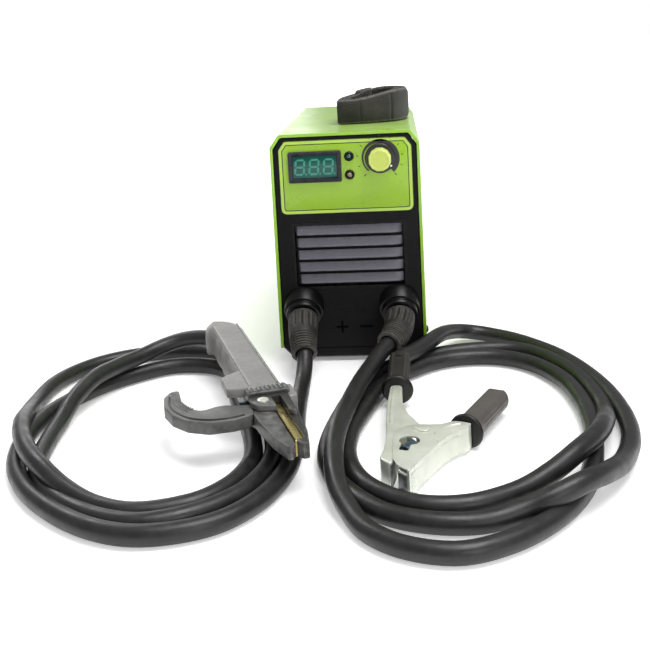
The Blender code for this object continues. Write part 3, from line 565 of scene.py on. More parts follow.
def make_surfaces():
    """Fills the table of looks.

    A mottle is a scale, a colour and a share; a spread is a scale and a range of roughness; a grain is a
    scale and a depth in millimetres.
    """
    LOOKS.update({
        "green": green_coat(),
        "board": board_surface(),
        "winding": winding_surface(),
        "webbing": webbing_surface(),
        "label": surface("lime_label_film", (142, 182, 38), 0.3, mottle=[(60.0, (148, 187, 46), 0.3)],
                         spread=(90.0, 0.06), grain=[(2600.0, 0.012)]),
        "border": surface("pale_label_border", (170, 204, 74), 0.32, mottle=[(80.0, (158, 194, 62), 0.5)],
                          grain=[(2600.0, 0.012)]),
        "ink": surface("black_print", (22, 24, 22), 0.38, mottle=[(500.0, (38, 42, 36), 0.5)],
                       grain=[(3000.0, 0.01)]),
        "white": surface("white_print", (238, 240, 236), 0.4, mottle=[(900.0, (214, 216, 208), 0.5)]),
        "panel": surface("moulded_black_plastic", (10, 10, 11), 0.52, mottle=[(30.0, (13, 13, 14), 0.5)],
                         wear=((48, 48, 51), 0.3, 0.54, 0.64), spread=(45.0, 0.06), grain=[(1500.0, 0.06)],
                         specular_ior_level=0.16),
        "gloss": surface("glossy_black_plastic", (5, 5, 6), 0.34, mottle=[(70.0, (14, 14, 15), 0.6)],
                         spread=(120.0, 0.06), grain=[(600.0, 0.012)], specular_ior_level=0.22),
        "mark": surface("matt_black_mark", (2, 2, 2), 0.8, mottle=[(300.0, (5, 5, 5), 0.5)],
                        grain=[(1500.0, 0.03)], specular_ior_level=0.04),
        "slat": surface("grey_louvre_plastic", (92, 90, 98), 0.44, mottle=[(9.0, (82, 81, 89), 0.3)],
                        wear=((150, 150, 160), 0.3, 0.53, 0.62), spread=(60.0, 0.07),
                        grain=[(1500.0, 0.05)], specular_ior_level=0.35),
        "bezel": surface("slate_bezel_plastic", (15, 15, 20), 0.4, mottle=[(90.0, (22, 22, 28), 0.6)],
                         wear=((74, 74, 86), 0.4), grain=[(1700.0, 0.03)], specular_ior_level=0.25),
        "window": surface("teal_display_filter", (16, 76, 66), 0.12, mottle=[(55.0, (20, 92, 78), 0.6)],
                          spread=(200.0, 0.04), grain=[(900.0, 0.006)], specular_ior_level=0.3),
        "digit": surface("unlit_segments", (36, 138, 118), 0.3, mottle=[(300.0, (28, 120, 102), 0.7)]),
        "knob": surface("pale_lime_knob", (188, 203, 92), 0.42, mottle=[(120.0, (176, 193, 80), 0.6)],
                        wear=((222, 232, 150), 0.5), spread=(150.0, 0.06), grain=[(1800.0, 0.03)],
                        subsurface_weight=0.05),
        "green_lens": surface("dark_green_lens", (18, 70, 58), 0.08, mottle=[(260.0, (28, 96, 80), 0.7)],
                              coat_weight=0.6, coat_roughness=0.05),
        "amber_lens": surface("smoky_amber_lens", (120, 104, 78), 0.1,
                              mottle=[(260.0, (160, 148, 120), 0.7)], coat_weight=0.6, coat_roughness=0.05),
        "sleeve": surface("moulded_plug_rubber", (34, 32, 30), 0.55, mottle=[(40.0, (48, 45, 41), 0.7)],
                          wear=((118, 114, 106), 0.5), spread=(80.0, 0.08), grain=[(1300.0, 0.07)],
                          specular_ior_level=0.3),
        "cable": surface("cable_rubber", (21, 21, 22), 0.4,
                         mottle=[(22.0, (30, 30, 31), 0.7), (140.0, (50, 49, 47), 0.35, 8.0)],
                         spread=(70.0, 0.1), grain=[(260.0, 0.12), (1500.0, 0.05)],
                         specular_ior_level=0.45),
        "grip": surface("dipped_grip_rubber", (80, 76, 72), 0.46,
                        mottle=[(30.0, (98, 93, 88), 0.7), (240.0, (56, 53, 50), 0.4)],
                        spread=(70.0, 0.08), grain=[(900.0, 0.07)]),
        "rubber": surface("black_rubber", (14, 14, 13), 0.42, mottle=[(60.0, (26, 26, 24), 0.7)],
                          spread=(90.0, 0.08), grain=[(1000.0, 0.06)], specular_ior_level=0.4),
        "handle": surface("light_grey_nylon", (122, 121, 120), 0.46,
                          mottle=[(24.0, (138, 136, 134), 0.7), (300.0, (92, 90, 88), 0.45, 8.0)],
                          wear=((180, 180, 178), 0.5), spread=(60.0, 0.07), grain=[(1300.0, 0.08)]),
        "jaw": surface("dark_grey_nylon", (44, 43, 43), 0.42, mottle=[(40.0, (62, 61, 60), 0.7)],
                       wear=((140, 140, 138), 0.7), spread=(70.0, 0.08), grain=[(1100.0, 0.09)],
                       specular_ior_level=0.4),
        "lever": surface("worn_lever_nylon", (72, 72, 71), 0.42,
                         mottle=[(26.0, (92, 92, 90), 0.7), (260.0, (46, 46, 45), 0.4)],
                         wear=((150, 150, 147), 0.6), spread=(60.0, 0.08), grain=[(1200.0, 0.09)]),
        "zinc": surface("bright_zinc_plate", (214, 216, 206), 0.34, 0.4,
                        mottle=[(30.0, (226, 228, 220), 0.7), (90.0, (188, 196, 188), 0.5),
                                (14.0, (206, 210, 178), 0.35)],
                        spread=(50.0, 0.1), grain=[(400.0, 0.03)]),
        "spring": surface("blued_spring_steel", (96, 116, 128), 0.32, 0.9,
                          mottle=[(200.0, (66, 80, 92), 0.7)], spread=(300.0, 0.1)),
        "teeth": surface("dark_cast_steel", (70, 72, 74), 0.5, 0.8, mottle=[(120.0, (44, 45, 46), 0.8)],
                         wear=((170, 172, 172), 0.7), grain=[(500.0, 0.12)]),
        "brass": surface("brass", (206, 190, 132), 0.3, 0.9,
                         mottle=[(90.0, (184, 164, 104), 0.7), (260.0, (122, 104, 62), 0.35)],
                         spread=(160.0, 0.1), grain=[(900.0, 0.04)]),
        "copper": surface("tinned_copper", (196, 120, 84), 0.3, 0.95, mottle=[(140.0, (170, 96, 64), 0.7)],
                          spread=(160.0, 0.1)),
        "black_steel": surface("black_painted_steel", (30, 30, 31), 0.4, mottle=[(60.0, (42, 42, 44), 0.6)],
                               wear=((120, 120, 122), 0.5), spread=(70.0, 0.08), grain=[(900.0, 0.05)]),
        "nickel": surface("nickel_plate", (190, 190, 188), 0.26, 1.0,
                          mottle=[(160.0, (160, 160, 158), 0.6)], spread=(220.0, 0.08)),
        "aluminium": surface("extruded_aluminium", (176, 178, 182), 0.38, 1.0,
                             mottle=[(60.0, (150, 152, 156), 0.6, 4.0, (1, 0.05, 1))],
                             spread=(80.0, 0.08), grain=[(900.0, 0.04, 3.0, (1, 0.03, 1))]),
        "can": surface("capacitor_sleeve", (34, 40, 66), 0.3, mottle=[(90.0, (48, 56, 84), 0.6)],
                       grain=[(500.0, 0.03)]),
        "thread": surface("stitching_thread", (44, 45, 41), 0.8, mottle=[(900.0, (64, 64, 59), 0.7)],
                          grain=[(4000.0, 0.05)], sheen_weight=0.1),
    })


def green_coat():
    """Bright green powder coat with slight orange peel, and pale dust with a painted sheen on top."""
    green = Surface("green_powder_coat", rgb(140, 190, 44), 0.34, coat_weight=0.35, coat_roughness=0.2)
    green.mottle(9.0, rgb(150, 196, 54), 0.2, 2.0)
    green.mottle(600.0, rgb(128, 178, 38), 0.15)
    green.edge_wear(rgb(196, 222, 110), 0.3, 0.56, 0.66)
    # The top is painted paler: dust together with a painted sheen.
    green.dust_and_top_sheen(rgb(214, 224, 176), 0.36)
    return green.vary_roughness(35.0, 0.07).grain(1100.0, 0.05).grain(220.0, 0.05).done()


def board_surface():
    """Green solder mask over faint tracks, with a glass weave."""
    board = Surface("green_circuit_board", rgb(20, 92, 50), 0.32)
    cells = board.add("ShaderNodeTexVoronoi", {"Vector": board.coords, "Scale": 160.0, "Randomness": 0.55},
                      feature="DISTANCE_TO_EDGE", distance="EUCLIDEAN")
    tracks = board.ramp(cells.outputs["Distance"], 0.10, 0.03)
    board.tint(board.math("MULTIPLY", tracks, 0.7), rgb(52, 136, 70))
    board.mottle(500.0, rgb(14, 74, 40), 0.5)
    return board.relief(tracks, 0.05).done()


def winding_surface():
    """Enamelled copper wire wound side by side, with painted shade in the grooves between the turns."""
    winding = Surface("enamelled_winding", rgb(166, 92, 44), 0.3, 0.6)
    wave = winding.add("ShaderNodeTexWave", {"Vector": winding.coords, "Scale": 190.0, "Distortion": 0.6,
                                             "Detail": 1.0}, wave_type="BANDS", bands_direction="DIAGONAL")
    # Painted shade: the grooves between the turns are darkened.
    groove_shade = winding.ramp(wave.outputs["Fac"], 0.45, 0.1)
    winding.tint(winding.math("MULTIPLY", groove_shade, 0.8), rgb(58, 32, 20))
    return winding.relief(wave.outputs["Fac"], 0.3).mottle(80.0, rgb(190, 116, 60), 0.5).done()


def webbing_surface():
    """Woven polyester tape: ribs across and fine yarns along, in the tape's own coordinates."""
    tape = Surface("woven_webbing", rgb(27, 28, 25), 0.8, specular_ior_level=0.3, sheen_weight=0.12,
                   sheen_roughness=0.5)
    uv = tape.add("ShaderNodeTexCoord").outputs["UV"]
    split = tape.add("ShaderNodeSeparateXYZ", {0: uv})
    along, across = split.outputs["X"], split.outputs["Y"]
    rib = tape.math("SINE", tape.math("MULTIPLY", along, math.tau / (1.3 * MM)))
    yarn = tape.math("SINE", tape.math("MULTIPLY", across, math.tau / (1.1 * MM)))
    weave = tape.math("MULTIPLY", rib, yarn)
    lit = tape.ramp(weave, -0.2, 1.0)
    tape.tint(tape.math("MULTIPLY", lit, 0.4), rgb(56, 56, 51))
    tape.mottle(30.0, rgb(92, 87, 80), 0.45)
    tape.mottle(700.0, rgb(30, 30, 28), 0.5)
    # Both edges of the tape are painted pale: a painted highlight along the rims, with patchy fraying.
    edge = tape.math("ABSOLUTE", tape.math("SUBTRACT", across, STRAP_WIDE / 2 * MM))
    rim_highlight_and_fray = tape.ramp(edge, 10.5 * MM, 12.0 * MM)
    tape.tint(tape.math("MULTIPLY", rim_highlight_and_fray, tape.ramp(tape.noise(500.0), 0.35, 0.6)), rgb(120, 120, 112))
    return tape.relief(weave, 0.22).grain(2500.0, 0.08).done()


# ---------------------------------------------------------------- camera, light and floor

CAMERA_PLACE = (0.0462, -0.9747, 0.2968)
CAMERA_PITCH, CAMERA_YAW, CAMERA_ROLL = 8.28, -5.62, -3.16
CAMERA_SENSOR, CAMERA_LENS = 36.0, 54.45
CAMERA_SHIFT = (0.034, -0.239)
FLOOR_HALF = 9000.0


def make_camera():
    """The camera stands in front of the machine's right side, level above the knob, and looks down."""
    pitch, yaw, roll = math.radians(CAMERA_PITCH), math.radians(CAMERA_YAW), math.radians(CAMERA_ROLL)
    ahead = Vector((math.sin(yaw) * math.cos(pitch), math.cos(yaw) * math.cos(pitch), -math.sin(pitch)))
    level_right = Vector((math.cos(yaw), -math.sin(yaw), 0.0))
    level_up = level_right.cross(ahead)
    right = math.cos(roll) * level_right + math.sin(roll) * level_up
    upward = -math.sin(roll) * level_right + math.cos(roll) * level_up
    data = bpy.data.cameras.new("camera")
    data.sensor_width = CAMERA_SENSOR
    data.lens = CAMERA_LENS
    data.shift_x, data.shift_y = CAMERA_SHIFT
    camera = bpy.data.objects.new("camera", data)
    camera.matrix_world = Matrix((*zip(right, upward, -ahead, CAMERA_PLACE), (0, 0, 0, 1)))
    bpy.context.scene.collection.objects.link(camera)
    bpy.context.scene.camera = camera


def make_floor():
    mesh = bmesh.new()
    bmesh.ops.create_grid(mesh, x_segments=2, y_segments=2, size=FLOOR_HALF)
    floor = Surface("pale_floor", rgb(246, 246, 246), 0.7, emission_color=(1, 1, 1, 1))
    distance = floor.add("ShaderNodeVectorMath", {0: floor.coords}, operation="LENGTH").outputs["Value"]
    glow = floor.math("ADD", floor.math("MULTIPLY", floor.ramp(distance, 0.25, 1.1), 1.0), 0.2)
    floor.tree.links.new(glow, floor.shader.inputs["Emission Strength"])
    look = floor.mottle(3.0, rgb(240, 240, 240), 0.5).done()
    build("floor", mesh, look)


def area_light(name, location, target, size, power):
    data = bpy.data.lights.new(name, "AREA")
    data.shape = "DISK"
    data.size = size
    data.energy = power
    light = bpy.data.objects.new(name, data)
    light.visible_camera = False
    light.location = location
    light.rotation_euler = (Vector(target) - Vector(location)).to_track_quat("-Z", "Y").to_euler()
    bpy.context.scene.collection.objects.link(light)


def make_lights():
    """A soft overhead light, a broad front fill, and a sky that is bright above and dim at the horizon."""
    area_light("overhead", (0.5, -0.5, 1.9), (0, -0.1, 0), 1.3, 34.0)
    area_light("front_fill", (1.1, -1.9, 0.9), (0, -0.2, 0.08), 1.0, 9.0)
    area_light("back_left", (-1.2, 1.2, 1.5), (0, 0, 0.15), 0.8, 12.0)
    area_light("top_glare", (-0.85, 2.3, 0.5), (0, 0, 0.2), 1.3, 6.5)
    world = bpy.data.worlds.new("studio")
    world.use_nodes = True
    tree = world.node_tree
    background = tree.nodes["Background"]
    background.inputs["Color"].default_value = (1, 1, 1, 1)
    coords, split, height, path, pick = (tree.nodes.new("ShaderNode" + kind) for kind in
                                         ("TexCoord", "SeparateXYZ", "MapRange", "LightPath", "Mix"))
    for socket, value in (("From Min", -0.05), ("From Max", 0.9), ("To Min", 0.22), ("To Max", 0.5)):
        height.inputs[socket].default_value = value
    pick.inputs["B"].default_value = 1.0
    for source, target in ((coords.outputs["Generated"], split.inputs[0]),
                           (split.outputs["Z"], height.inputs["Value"]),
                           (path.outputs["Is Camera Ray"], pick.inputs["Factor"]),
                           (height.outputs[0], pick.inputs["A"]),
                           (pick.outputs["Result"], background.inputs["Strength"])):
        tree.links.new(source, target)
    bpy.context.scene.world = world
    bpy.context.scene.view_settings.view_transform = "Standard"


# ---------------------------------------------------------------- leads and plugs

def lead_path(route, count):
    points = [Vector(ahead_of_panel(point)) for point in route]
    return [points[0]] + smooth_path(points[1:-1], count) + [points[-1]]


def lead(name, route, node):
    """A free welding lead along its route, from inside its plug to its far end."""
    path = lead_path(route, 420)
    curve = bpy.data.curves.new(name, "CURVE")
    curve.dimensions = "3D"
    curve.bevel_depth = LEAD_DIAMETER / 2 * MM
    curve.bevel_resolution = 7
    curve.use_fill_caps = True
    spline = curve.splines.new("POLY")
    spline.points.add(len(path) - 1)
    for knot, point in zip(spline.points, path):
        knot.co = (*(point * MM), 1.0)
    spline.use_smooth = True
    curve.materials.append(LOOKS["cable"])
    obj = bpy.data.objects.new(name, curve)
    bpy.context.scene.collection.objects.link(obj)
    return put(obj, "machine", "cable_rubber", node)


def socket_axis():
    return Vector((0, -math.cos(SOCKET_TILT), -math.sin(SOCKET_TILT)))


def socket_centre(side):
    return Vector((side * SOCKET_X, PANEL_FACE, SOCKET_Z))


def plug_sleeve(kind, side):
    """The plug's rubber sleeve: a flared rim, lengthwise flutes, a plain band, ribs and the mouth."""
    axis = socket_axis()
    base = socket_centre(side) + axis * (BOSS + GAP + 3.5 + 2 * GAP)
    mouth = Vector(ahead_of_panel(PLUG_MOUTHS[kind]))
    bend = base + axis * ((mouth - base).length * 0.5)
    steps = 90
    path = []
    for i in range(steps + 1):
        t = i / steps
        path.append(base * (1 - t) ** 2 + bend * (2 * t * (1 - t)) + mouth * t * t)
    length = sum((b - a).length for a, b in zip(path, path[1:]))
    flutes = 12

    def section(along, angle):
        share = along / length
        radius = SLEEVE_RADIUS - 2.6 * share * share
        if share < 0.03:
            radius -= 1.2 * (1 - smoothstep(0.0, 0.03, share))
        fluted = smoothstep(0.06, 0.10, share) * (1 - smoothstep(0.38, 0.50, share))
        groove = max(0.0, math.cos(flutes * angle)) ** 3
        radius -= 1.3 * fluted * groove
        ribbed = smoothstep(0.60, 0.63, share) * (1 - smoothstep(0.93, 0.95, share))
        radius -= 0.9 * ribbed * (0.5 + 0.5 * math.cos(math.tau * (share - 0.62) / 0.062)) ** 2
        radius += 0.5 * smoothstep(0.94, 0.965, share)
        if share > 0.985:
            radius -= 0.7 * smoothstep(0.985, 1.0, share)
        return radius * math.cos(angle), radius * math.sin(angle)

    shell = sweep(path, section, 96, (BORE_RADIUS, 11.0))
    name = "plug_sleeve_" + kind
    return piece(name + "_moulded", shell, "sleeve", "plug_rubber", name, sharp=50)


def sockets_and_leads():
    for kind, side in (("positive", -1), ("negative", 1)):
        axis, centre = socket_axis(), socket_centre(side)
        flange = BOSS + GAP
        profile = [(-20, SOCKET_RADIUS), (flange, SOCKET_RADIUS), (flange, 15.1), (flange + 0.4, 15.5),
                   (flange + 2.2, 15.5), (flange + 3.1, 15.1), (flange + 3.5, 14.3), (flange + 3.5, 9.4),
                   (flange + 3.1, 9.0), (-16, 9.0)]
        body = turned(centre, axis, profile, 72)
        piece("socket_body_" + kind, body, "gloss", "black_plastic", "socket_" + kind)
        plug_sleeve(kind, side)
    electrode = lead("electrode_cable", ELECTRODE_ROUTE, "electrode_lead")
    earth = lead("earth_cable", EARTH_ROUTE, "earth_lead")


# ---------------------------------------------------------------- case

def screw(name, centre, axis, look, radius=3.2):
    """A pan-head cross-recessed screw."""
    axis = Vector(axis).normalized()
    centre = Vector(centre)
    profile = [(0, radius), (1.6, radius), (2.3, radius * 0.88), (2.8, radius * 0.6), (3.0, radius * 0.25)]
    head = turned(centre - axis, axis, profile, 32)
    side, upward = frame_of(axis)
    arms = []
    for first, second in ((side, upward), (upward, side)):
        corners = []
        for a, b in ((-1, -1), (1, -1), (1, 1), (-1, 1)):
            corners.append(centre + first * (a * radius * 0.62) + second * (b * 0.42))
        arms.append(loft([[c + axis * 1.1 for c in corners], [c + axis * 4.0 for c in corners]]))
    piece(name, head, look, "zinc_steel", cuts=arms)


def cover():
    """The folded green cover with rounded bends, side vents and screws."""
    side = HALF_WIDTH - CHAMFER_SIDE
    inner_half, inner_top = HALF_WIDTH - SHEET, TOP - SHEET
    inner_side = inner_half - CHAMFER_SIDE + SHEET * 0.4
    inner_drop = CHAMFER_DROP - SHEET * 0.4
    outer = [(-HALF_WIDTH, COVER_FOOT), (-HALF_WIDTH, TOP - CHAMFER_DROP), (-side, TOP), (side, TOP),
             (HALF_WIDTH, TOP - CHAMFER_DROP), (HALF_WIDTH, COVER_FOOT)]
    inner = [(inner_half, COVER_FOOT), (inner_half, inner_top - inner_drop), (inner_side, inner_top),
             (-inner_side, inner_top), (-inner_half, inner_top - inner_drop), (-inner_half, COVER_FOOT)]
    bend, inner_bend = 3.6, 2.4
    radii = [0, bend, bend, bend, bend, 0, 0, inner_bend, inner_bend, inner_bend, inner_bend, 0]
    shell = rounded_prism(fillet(outer + inner, radii, 6), FRONT, BACK, "Y", 0.3, 2)
    slots = []
    for wall in (-1, 1):
        for row in range(2):
            for column in range(7):
                y, z = 20.0 + column * 14.0, 55.0 + row * 62.0
                outline = fillet(rectangle(y, y + 5, z, z + 48), 2.4, 5)
                x = wall * HALF_WIDTH
                slots.append(prism(outline, min(x - 4, x + 4), max(x - 4, x + 4), "X"))
    hem_half, hem_top = HALF_WIDTH - 2.7, TOP - 2.7
    hem_side, hem_drop = hem_half - CHAMFER_SIDE + 1.1, CHAMFER_DROP - 1.1
    hem_inner = [(hem_half, COVER_FOOT), (hem_half, hem_top - hem_drop), (hem_side, hem_top),
                 (-hem_side, hem_top), (-hem_half, hem_top - hem_drop), (-hem_half, COVER_FOOT)]
    hem = rounded_prism(fillet(outer + hem_inner, radii, 6), FRONT + 0.01, FRONT + 1.6, "Y", 0.3, 2)
    piece("cover_shell", shell, "green", "green_paint", "cover", joins=[hem], cuts=[gather(slots)])
    number = 0
    for wall in (-1, 1):
        for y in (FRONT + 16, 2.0, BACK - 14):
            number += 1
            screw(f"cover_screw_{number}", (wall * HALF_WIDTH, y, 23.0), (wall, 0, 0), "black_steel")


def tray():
    low, high = box_mm("base_tray")
    half, foot, lip = high.x, low.z, high.z
    outer = [(-half, lip), (-half, foot + 10), (-half + 9.5, foot), (half - 9.5, foot), (half, foot + 10),
             (half, lip)]
    inner = [(half - SHEET, lip), (half - SHEET, foot + 10.6), (half - 10, foot + SHEET),
             (-half + 10, foot + SHEET), (-half + SHEET, foot + 10.6), (-half + SHEET, lip)]
    radii = [0, 3, 3, 3, 3, 0, 0, 1.8, 1.8, 1.8, 1.8, 0]
    shape = rounded_prism(fillet(outer + inner, radii, 5), low.y, high.y, "Y", 0.3, 2)
    piece("folded_tray", shape, "black_steel", "tray_steel", "base_tray")
    for i in range(1, 5):
        low, high = box_mm(f"foot_{i}")
        centre = ((low.x + high.x) / 2, (low.y + high.y) / 2, 0)
        radius, tall = (high.x - low.x) / 2, high.z
        profile = [(0, radius - 1.6), (0.3, radius - 1.1), (tall * 0.6, radius - 0.4), (tall, radius)]
        foot = turned(centre, (0, 0, 1), profile, 48)
        piece(f"rubber_foot_{i}", foot, "rubber", "foot_rubber", f"foot_{i}")


def panel_outline():
    half, top, low = HALF_WIDTH - PANEL_INSET, TOP - PANEL_INSET, 2.0 + PANEL_INSET
    side = half - CHAMFER_SIDE + PANEL_INSET * 0.4
    shoulder = top - CHAMFER_DROP + PANEL_INSET * 0.4
    return [(-half, low + 10), (-half + 10, low), (half - 10, low), (half, low + 10),
            (half, shoulder), (side, top), (-side, top), (-half, shoulder)]


def control_openings(near, far):
    """What is cut for the display, the two lamps and the knob's shaft."""
    window = box_outline(*box_mm("display_window"), 1)
    lamp_holes = [disc(*face_centre(lamp), 3.5) for lamp in ("power_lamp", "fault_lamp")]
    return [prism(outline, near, far, "Y") for outline in (window, *lamp_holes, disc(*KNOB_CENTRE, 3.6))]


def front_panel():
    """The black front with its louvre window, its lip, the two bosses and the polarity marks."""
    outline = fillet(panel_outline(), 2.5, 5)
    panel = rounded_prism(outline, PANEL_FACE, PANEL_FACE + PANEL_THICK, "Y", 0.9, 4)
    near, far = PANEL_FACE - 5, PANEL_FACE + 9
    axis = socket_axis()
    cuts = []
    for side in (-1, 1):
        centre = socket_centre(side)
        cuts.append(rod(centre - axis * 30, centre + axis * 30, SOCKET_RADIUS + GAP, 64))
    window = fillet(box_outline(LOUVRE_LOW, LOUVRE_HIGH, GAP), 2.0)
    groove = fillet(rectangle(-52, 52, 12.2, 13.4), 0.5, 2)
    cuts += [prism(window, near, far, "Y"), *control_openings(near, far),
             prism(groove, PANEL_FACE - 1, PANEL_FACE + 0.7, "Y")]
    piece("front_moulding", panel, "panel", "black_plastic", "front_panel", cuts=cuts)
    rim = fillet(box_outline(LOUVRE_LOW, LOUVRE_HIGH, 2.6), 3.0)
    lip = frame_ring(rim, window, PANEL_FACE - 0.55, PANEL_FACE + 0.2, "Y")
    piece("louvre_frame", lip, "panel", "black_plastic")
    for kind, side in (("positive", -1), ("negative", 1)):
        profile = [(-4, 17.5), (7.4, 17.5), (8.2, 17.2), (8.6, 16.6), (8.6, 15.4), (9.6, 15.0),
                   (9.6, 12.9), (-4, 12.9)]
        boss = turned(socket_centre(side), axis, profile, 80, hollow=True)
        piece("socket_boss_" + kind, boss, "gloss", "black_plastic")
    polarity_marks()


def polarity_marks():
    """Raised plus and minus signs between the sockets."""
    z, half, bar = 31.5, 5.6, 0.8
    near, far = PANEL_FACE - 0.45, PANEL_FACE + 0.2
    arm = half - 0.2
    plus = [(-arm, -bar), (-bar, -bar), (-bar, -arm), (bar, -arm), (bar, -bar), (arm, -bar),
            (arm, bar), (bar, bar), (bar, arm), (-bar, arm), (-bar, bar), (-arm, bar)]
    centre = -9.0
    shape = rounded_prism([(centre + a, z + b) for a, b in plus], near, far, "Y", 0.2, 2)
    piece("polarity_plus", shape, "mark", "black_plastic")
    centre = 12.0
    shape = rounded_prism(rectangle(centre - half, centre + half, z - bar, z + bar), near, far, "Y", 0.2, 2)
    piece("polarity_minus", shape, "mark", "black_plastic")


def louvres():
    """Five grey hooded slats whose ends run down into the window, over a dark baffle."""
    low, high = LOUVRE_LOW, LOUVRE_HIGH
    count = 5
    pitch = (high.z - low.z) / count
    slats = []
    for i in range(count):
        top = high.z - i * pitch - 0.4
        foot = top - pitch + 3.0
        left, right = low.x + 0.6 + 0.4 * i, high.x - 0.6
        rings = []
        stations = [(left, 0.0), (left + 0.5, 0.45), (left + 1.6, 0.85), (left + 3.2, 1.0),
                    (right - 9, 1.0), (right - 5, 0.82), (right - 2, 0.5), (right, 0.12)]
        for x, full in stations:
            out = PANEL_FACE + 3.4 - 4.6 * full
            back = PANEL_FACE + 3.2
            section = [(back, top), (back - 0.6 - 1.2 * full, top), (out + 0.9 * full, foot + 2.2),
                       (out, foot + 1.2), (out, foot + 0.3), (out + 0.5, foot), (out + 1.4, foot + 0.5),
                       (back, top - 1.6)]
            rings.append([Vector((x, y, z)) for y, z in section])
        slats.append(loft(rings))
    piece("louvre_slats", gather(slats), "slat", "grey_plastic", "louvre_grille", sharp=28)
    baffle = slab((low.x, PANEL_FACE + 5.0, low.z), (high.x, PANEL_FACE + 6.0, high.z))
    piece("louvre_baffle", baffle, "panel", "black_plastic")


def plate_outline(margin=0.0):
    """The fascia's outline: chamfered above like the case, rounded below; with a margin it is smaller."""
    x0, x1 = PLATE_LOW.x, PLATE_HIGH.x
    z0, z1 = PLATE_LOW.z, PLATE_HIGH.z
    corners = [(x0, z0), (x1, z0), (x1, z1 - 7.5), (x1 - 5.5, z1), (x0 + 5.5, z1), (x0, z1 - 7.5)]
    outline = fillet(corners, [6, 6, 3.5, 3.5, 3.5, 3.5], 6)
    return inset(outline, margin) if margin else outline


def control_plate():
    """The lime fascia, its pale border, the black line inside it and the dial's printed scale."""
    plate = rounded_prism(plate_outline(), PLATE_FACE, PANEL_FACE - GAP, "Y", 0.25, 2)
    piece("control_fascia", plate, "label", "lime_label", "control_plate",
          cuts=control_openings(FRONT - 5, FRONT + 5))
    bands = (("fascia_border", 0.3, 3.0, PRINT_FACE, "border", "lime_label"),
             ("fascia_line", 3.0, 3.75, PRINT_FACE - 0.02, "ink", "black_plastic"),
             ("fascia_edge_line", 0.05, 0.45, PRINT_FACE - 0.02, "ink", "black_plastic"))
    for name, outer, inner, face, look, slot in bands:
        band = frame_ring(plate_outline(outer), plate_outline(inner), face, PRINT_BACK, "Y")
        piece(name, band, look, slot)
    dial_scale()


def dial_scale():
    """A black arc that widens clockwise, with ticks outside it."""
    cx, cz = KNOB_CENTRE
    first, last, steps = math.radians(-138), math.radians(138), 96
    outline_in, outline_out = [], []
    for i in range(steps + 1):
        share = i / steps
        angle = first + (last - first) * share
        outer = 15.4 + 1.9 * share
        inner = outer - 1.4 - 4.4 * smoothstep(0.05, 1.0, share)
        outline_out.append((cx + outer * math.sin(angle), cz + outer * math.cos(angle)))
        outline_in.append((cx + inner * math.sin(angle), cz + inner * math.cos(angle)))
    arc = prism(outline_out + outline_in[::-1], PRINT_FACE, PRINT_BACK, "Y")
    piece("dial_arc", arc, "ink", "black_plastic")
    ticks = []
    for i in range(11):
        angle = first + (last - first) * i / 10
        along = Vector((math.sin(angle), math.cos(angle)))
        across = Vector((math.cos(angle), -math.sin(angle)))
        reach, half = (21.0, 0.42) if i % 5 == 0 else (20.4, 0.32)
        corners = [along * 18.5 - across * half, along * 18.5 + across * half,
                   along * reach + across * half,
                   along * reach - across * half]
        ticks.append(prism([(cx + c.x, cz + c.y) for c in corners], PRINT_FACE, PRINT_BACK, "Y"))
    piece("dial_ticks", gather(ticks), "ink", "black_plastic")


def display():
    """The readout: a bevelled bezel, the tinted window and three unlit digits."""
    low, high = box_mm("display_bezel")
    window_low, window_high = box_mm("display_window")
    outer = fillet(box_outline(low, high), 1.6, 4)
    lip = fillet(box_outline(window_low, window_high, GAP), 0.8, 4)
    rows = [(outer, high.y), (outer, low.y + 0.6), (inset(outer, 0.5), low.y), (inset(lip, -1.5), low.y),
            (lip, low.y + 1.0), (lip, high.y)]
    rings = [[Vector((a, y, b)) for a, b in shape] for shape, y in rows]
    piece("readout_bezel", loft(rings, hollow=True), "bezel", "black_plastic", "display_bezel")
    pane = rounded_prism(box_outline(window_low, window_high), window_low.y, window_high.y, "Y", 0.2, 2)
    piece("readout_window", pane, "window", "display_teal", "display_window")
    wide, tall = 9.2, 14.2
    middle = (window_low.z + window_high.z) / 2
    strokes = []
    for i in range(3):
        centre = (window_low.x + window_high.x) / 2 + (i - 1) * 12.4 - 0.6
        strokes += digit(centre, middle, wide, tall, window_low.y)
    piece("readout_segments", gather(strokes), "digit", "display_teal")


def digit(cx, cz, wide, tall, face):
    """Seven slanted segments and a point."""
    stroke, gap, slant = 1.7, 0.35, 0.10
    half = wide / 2 - stroke / 2
    level = tall / 2 - stroke / 2
    shapes = []

    def segment(start, end):
        a, b = Vector(start), Vector(end)
        along = (b - a).normalized()
        across = Vector((-along.y, along.x))
        a, b = a + along * gap, b - along * gap
        tip = stroke / 2
        corners = [a, a + along * tip + across * tip, b - along * tip + across * tip, b,
                   b - along * tip - across * tip, a + along * tip - across * tip]
        points = [(cx + c.x + slant * c.y, cz + c.y) for c in corners]
        shapes.append(prism(points, face - 0.06, face + 0.1, "Y"))

    for z in (-level, 0.0, level):
        segment((-half, z), (half, z))
    for x in (-half, half):
        for z in (-level, 0.0):
            segment((x, z), (x, z + level))
    point = disc(cx + half + 2.0 - slant * level, cz - level, 0.8, 16)
    shapes.append(prism(point, face - 0.06, face + 0.1, "Y"))
    return shapes


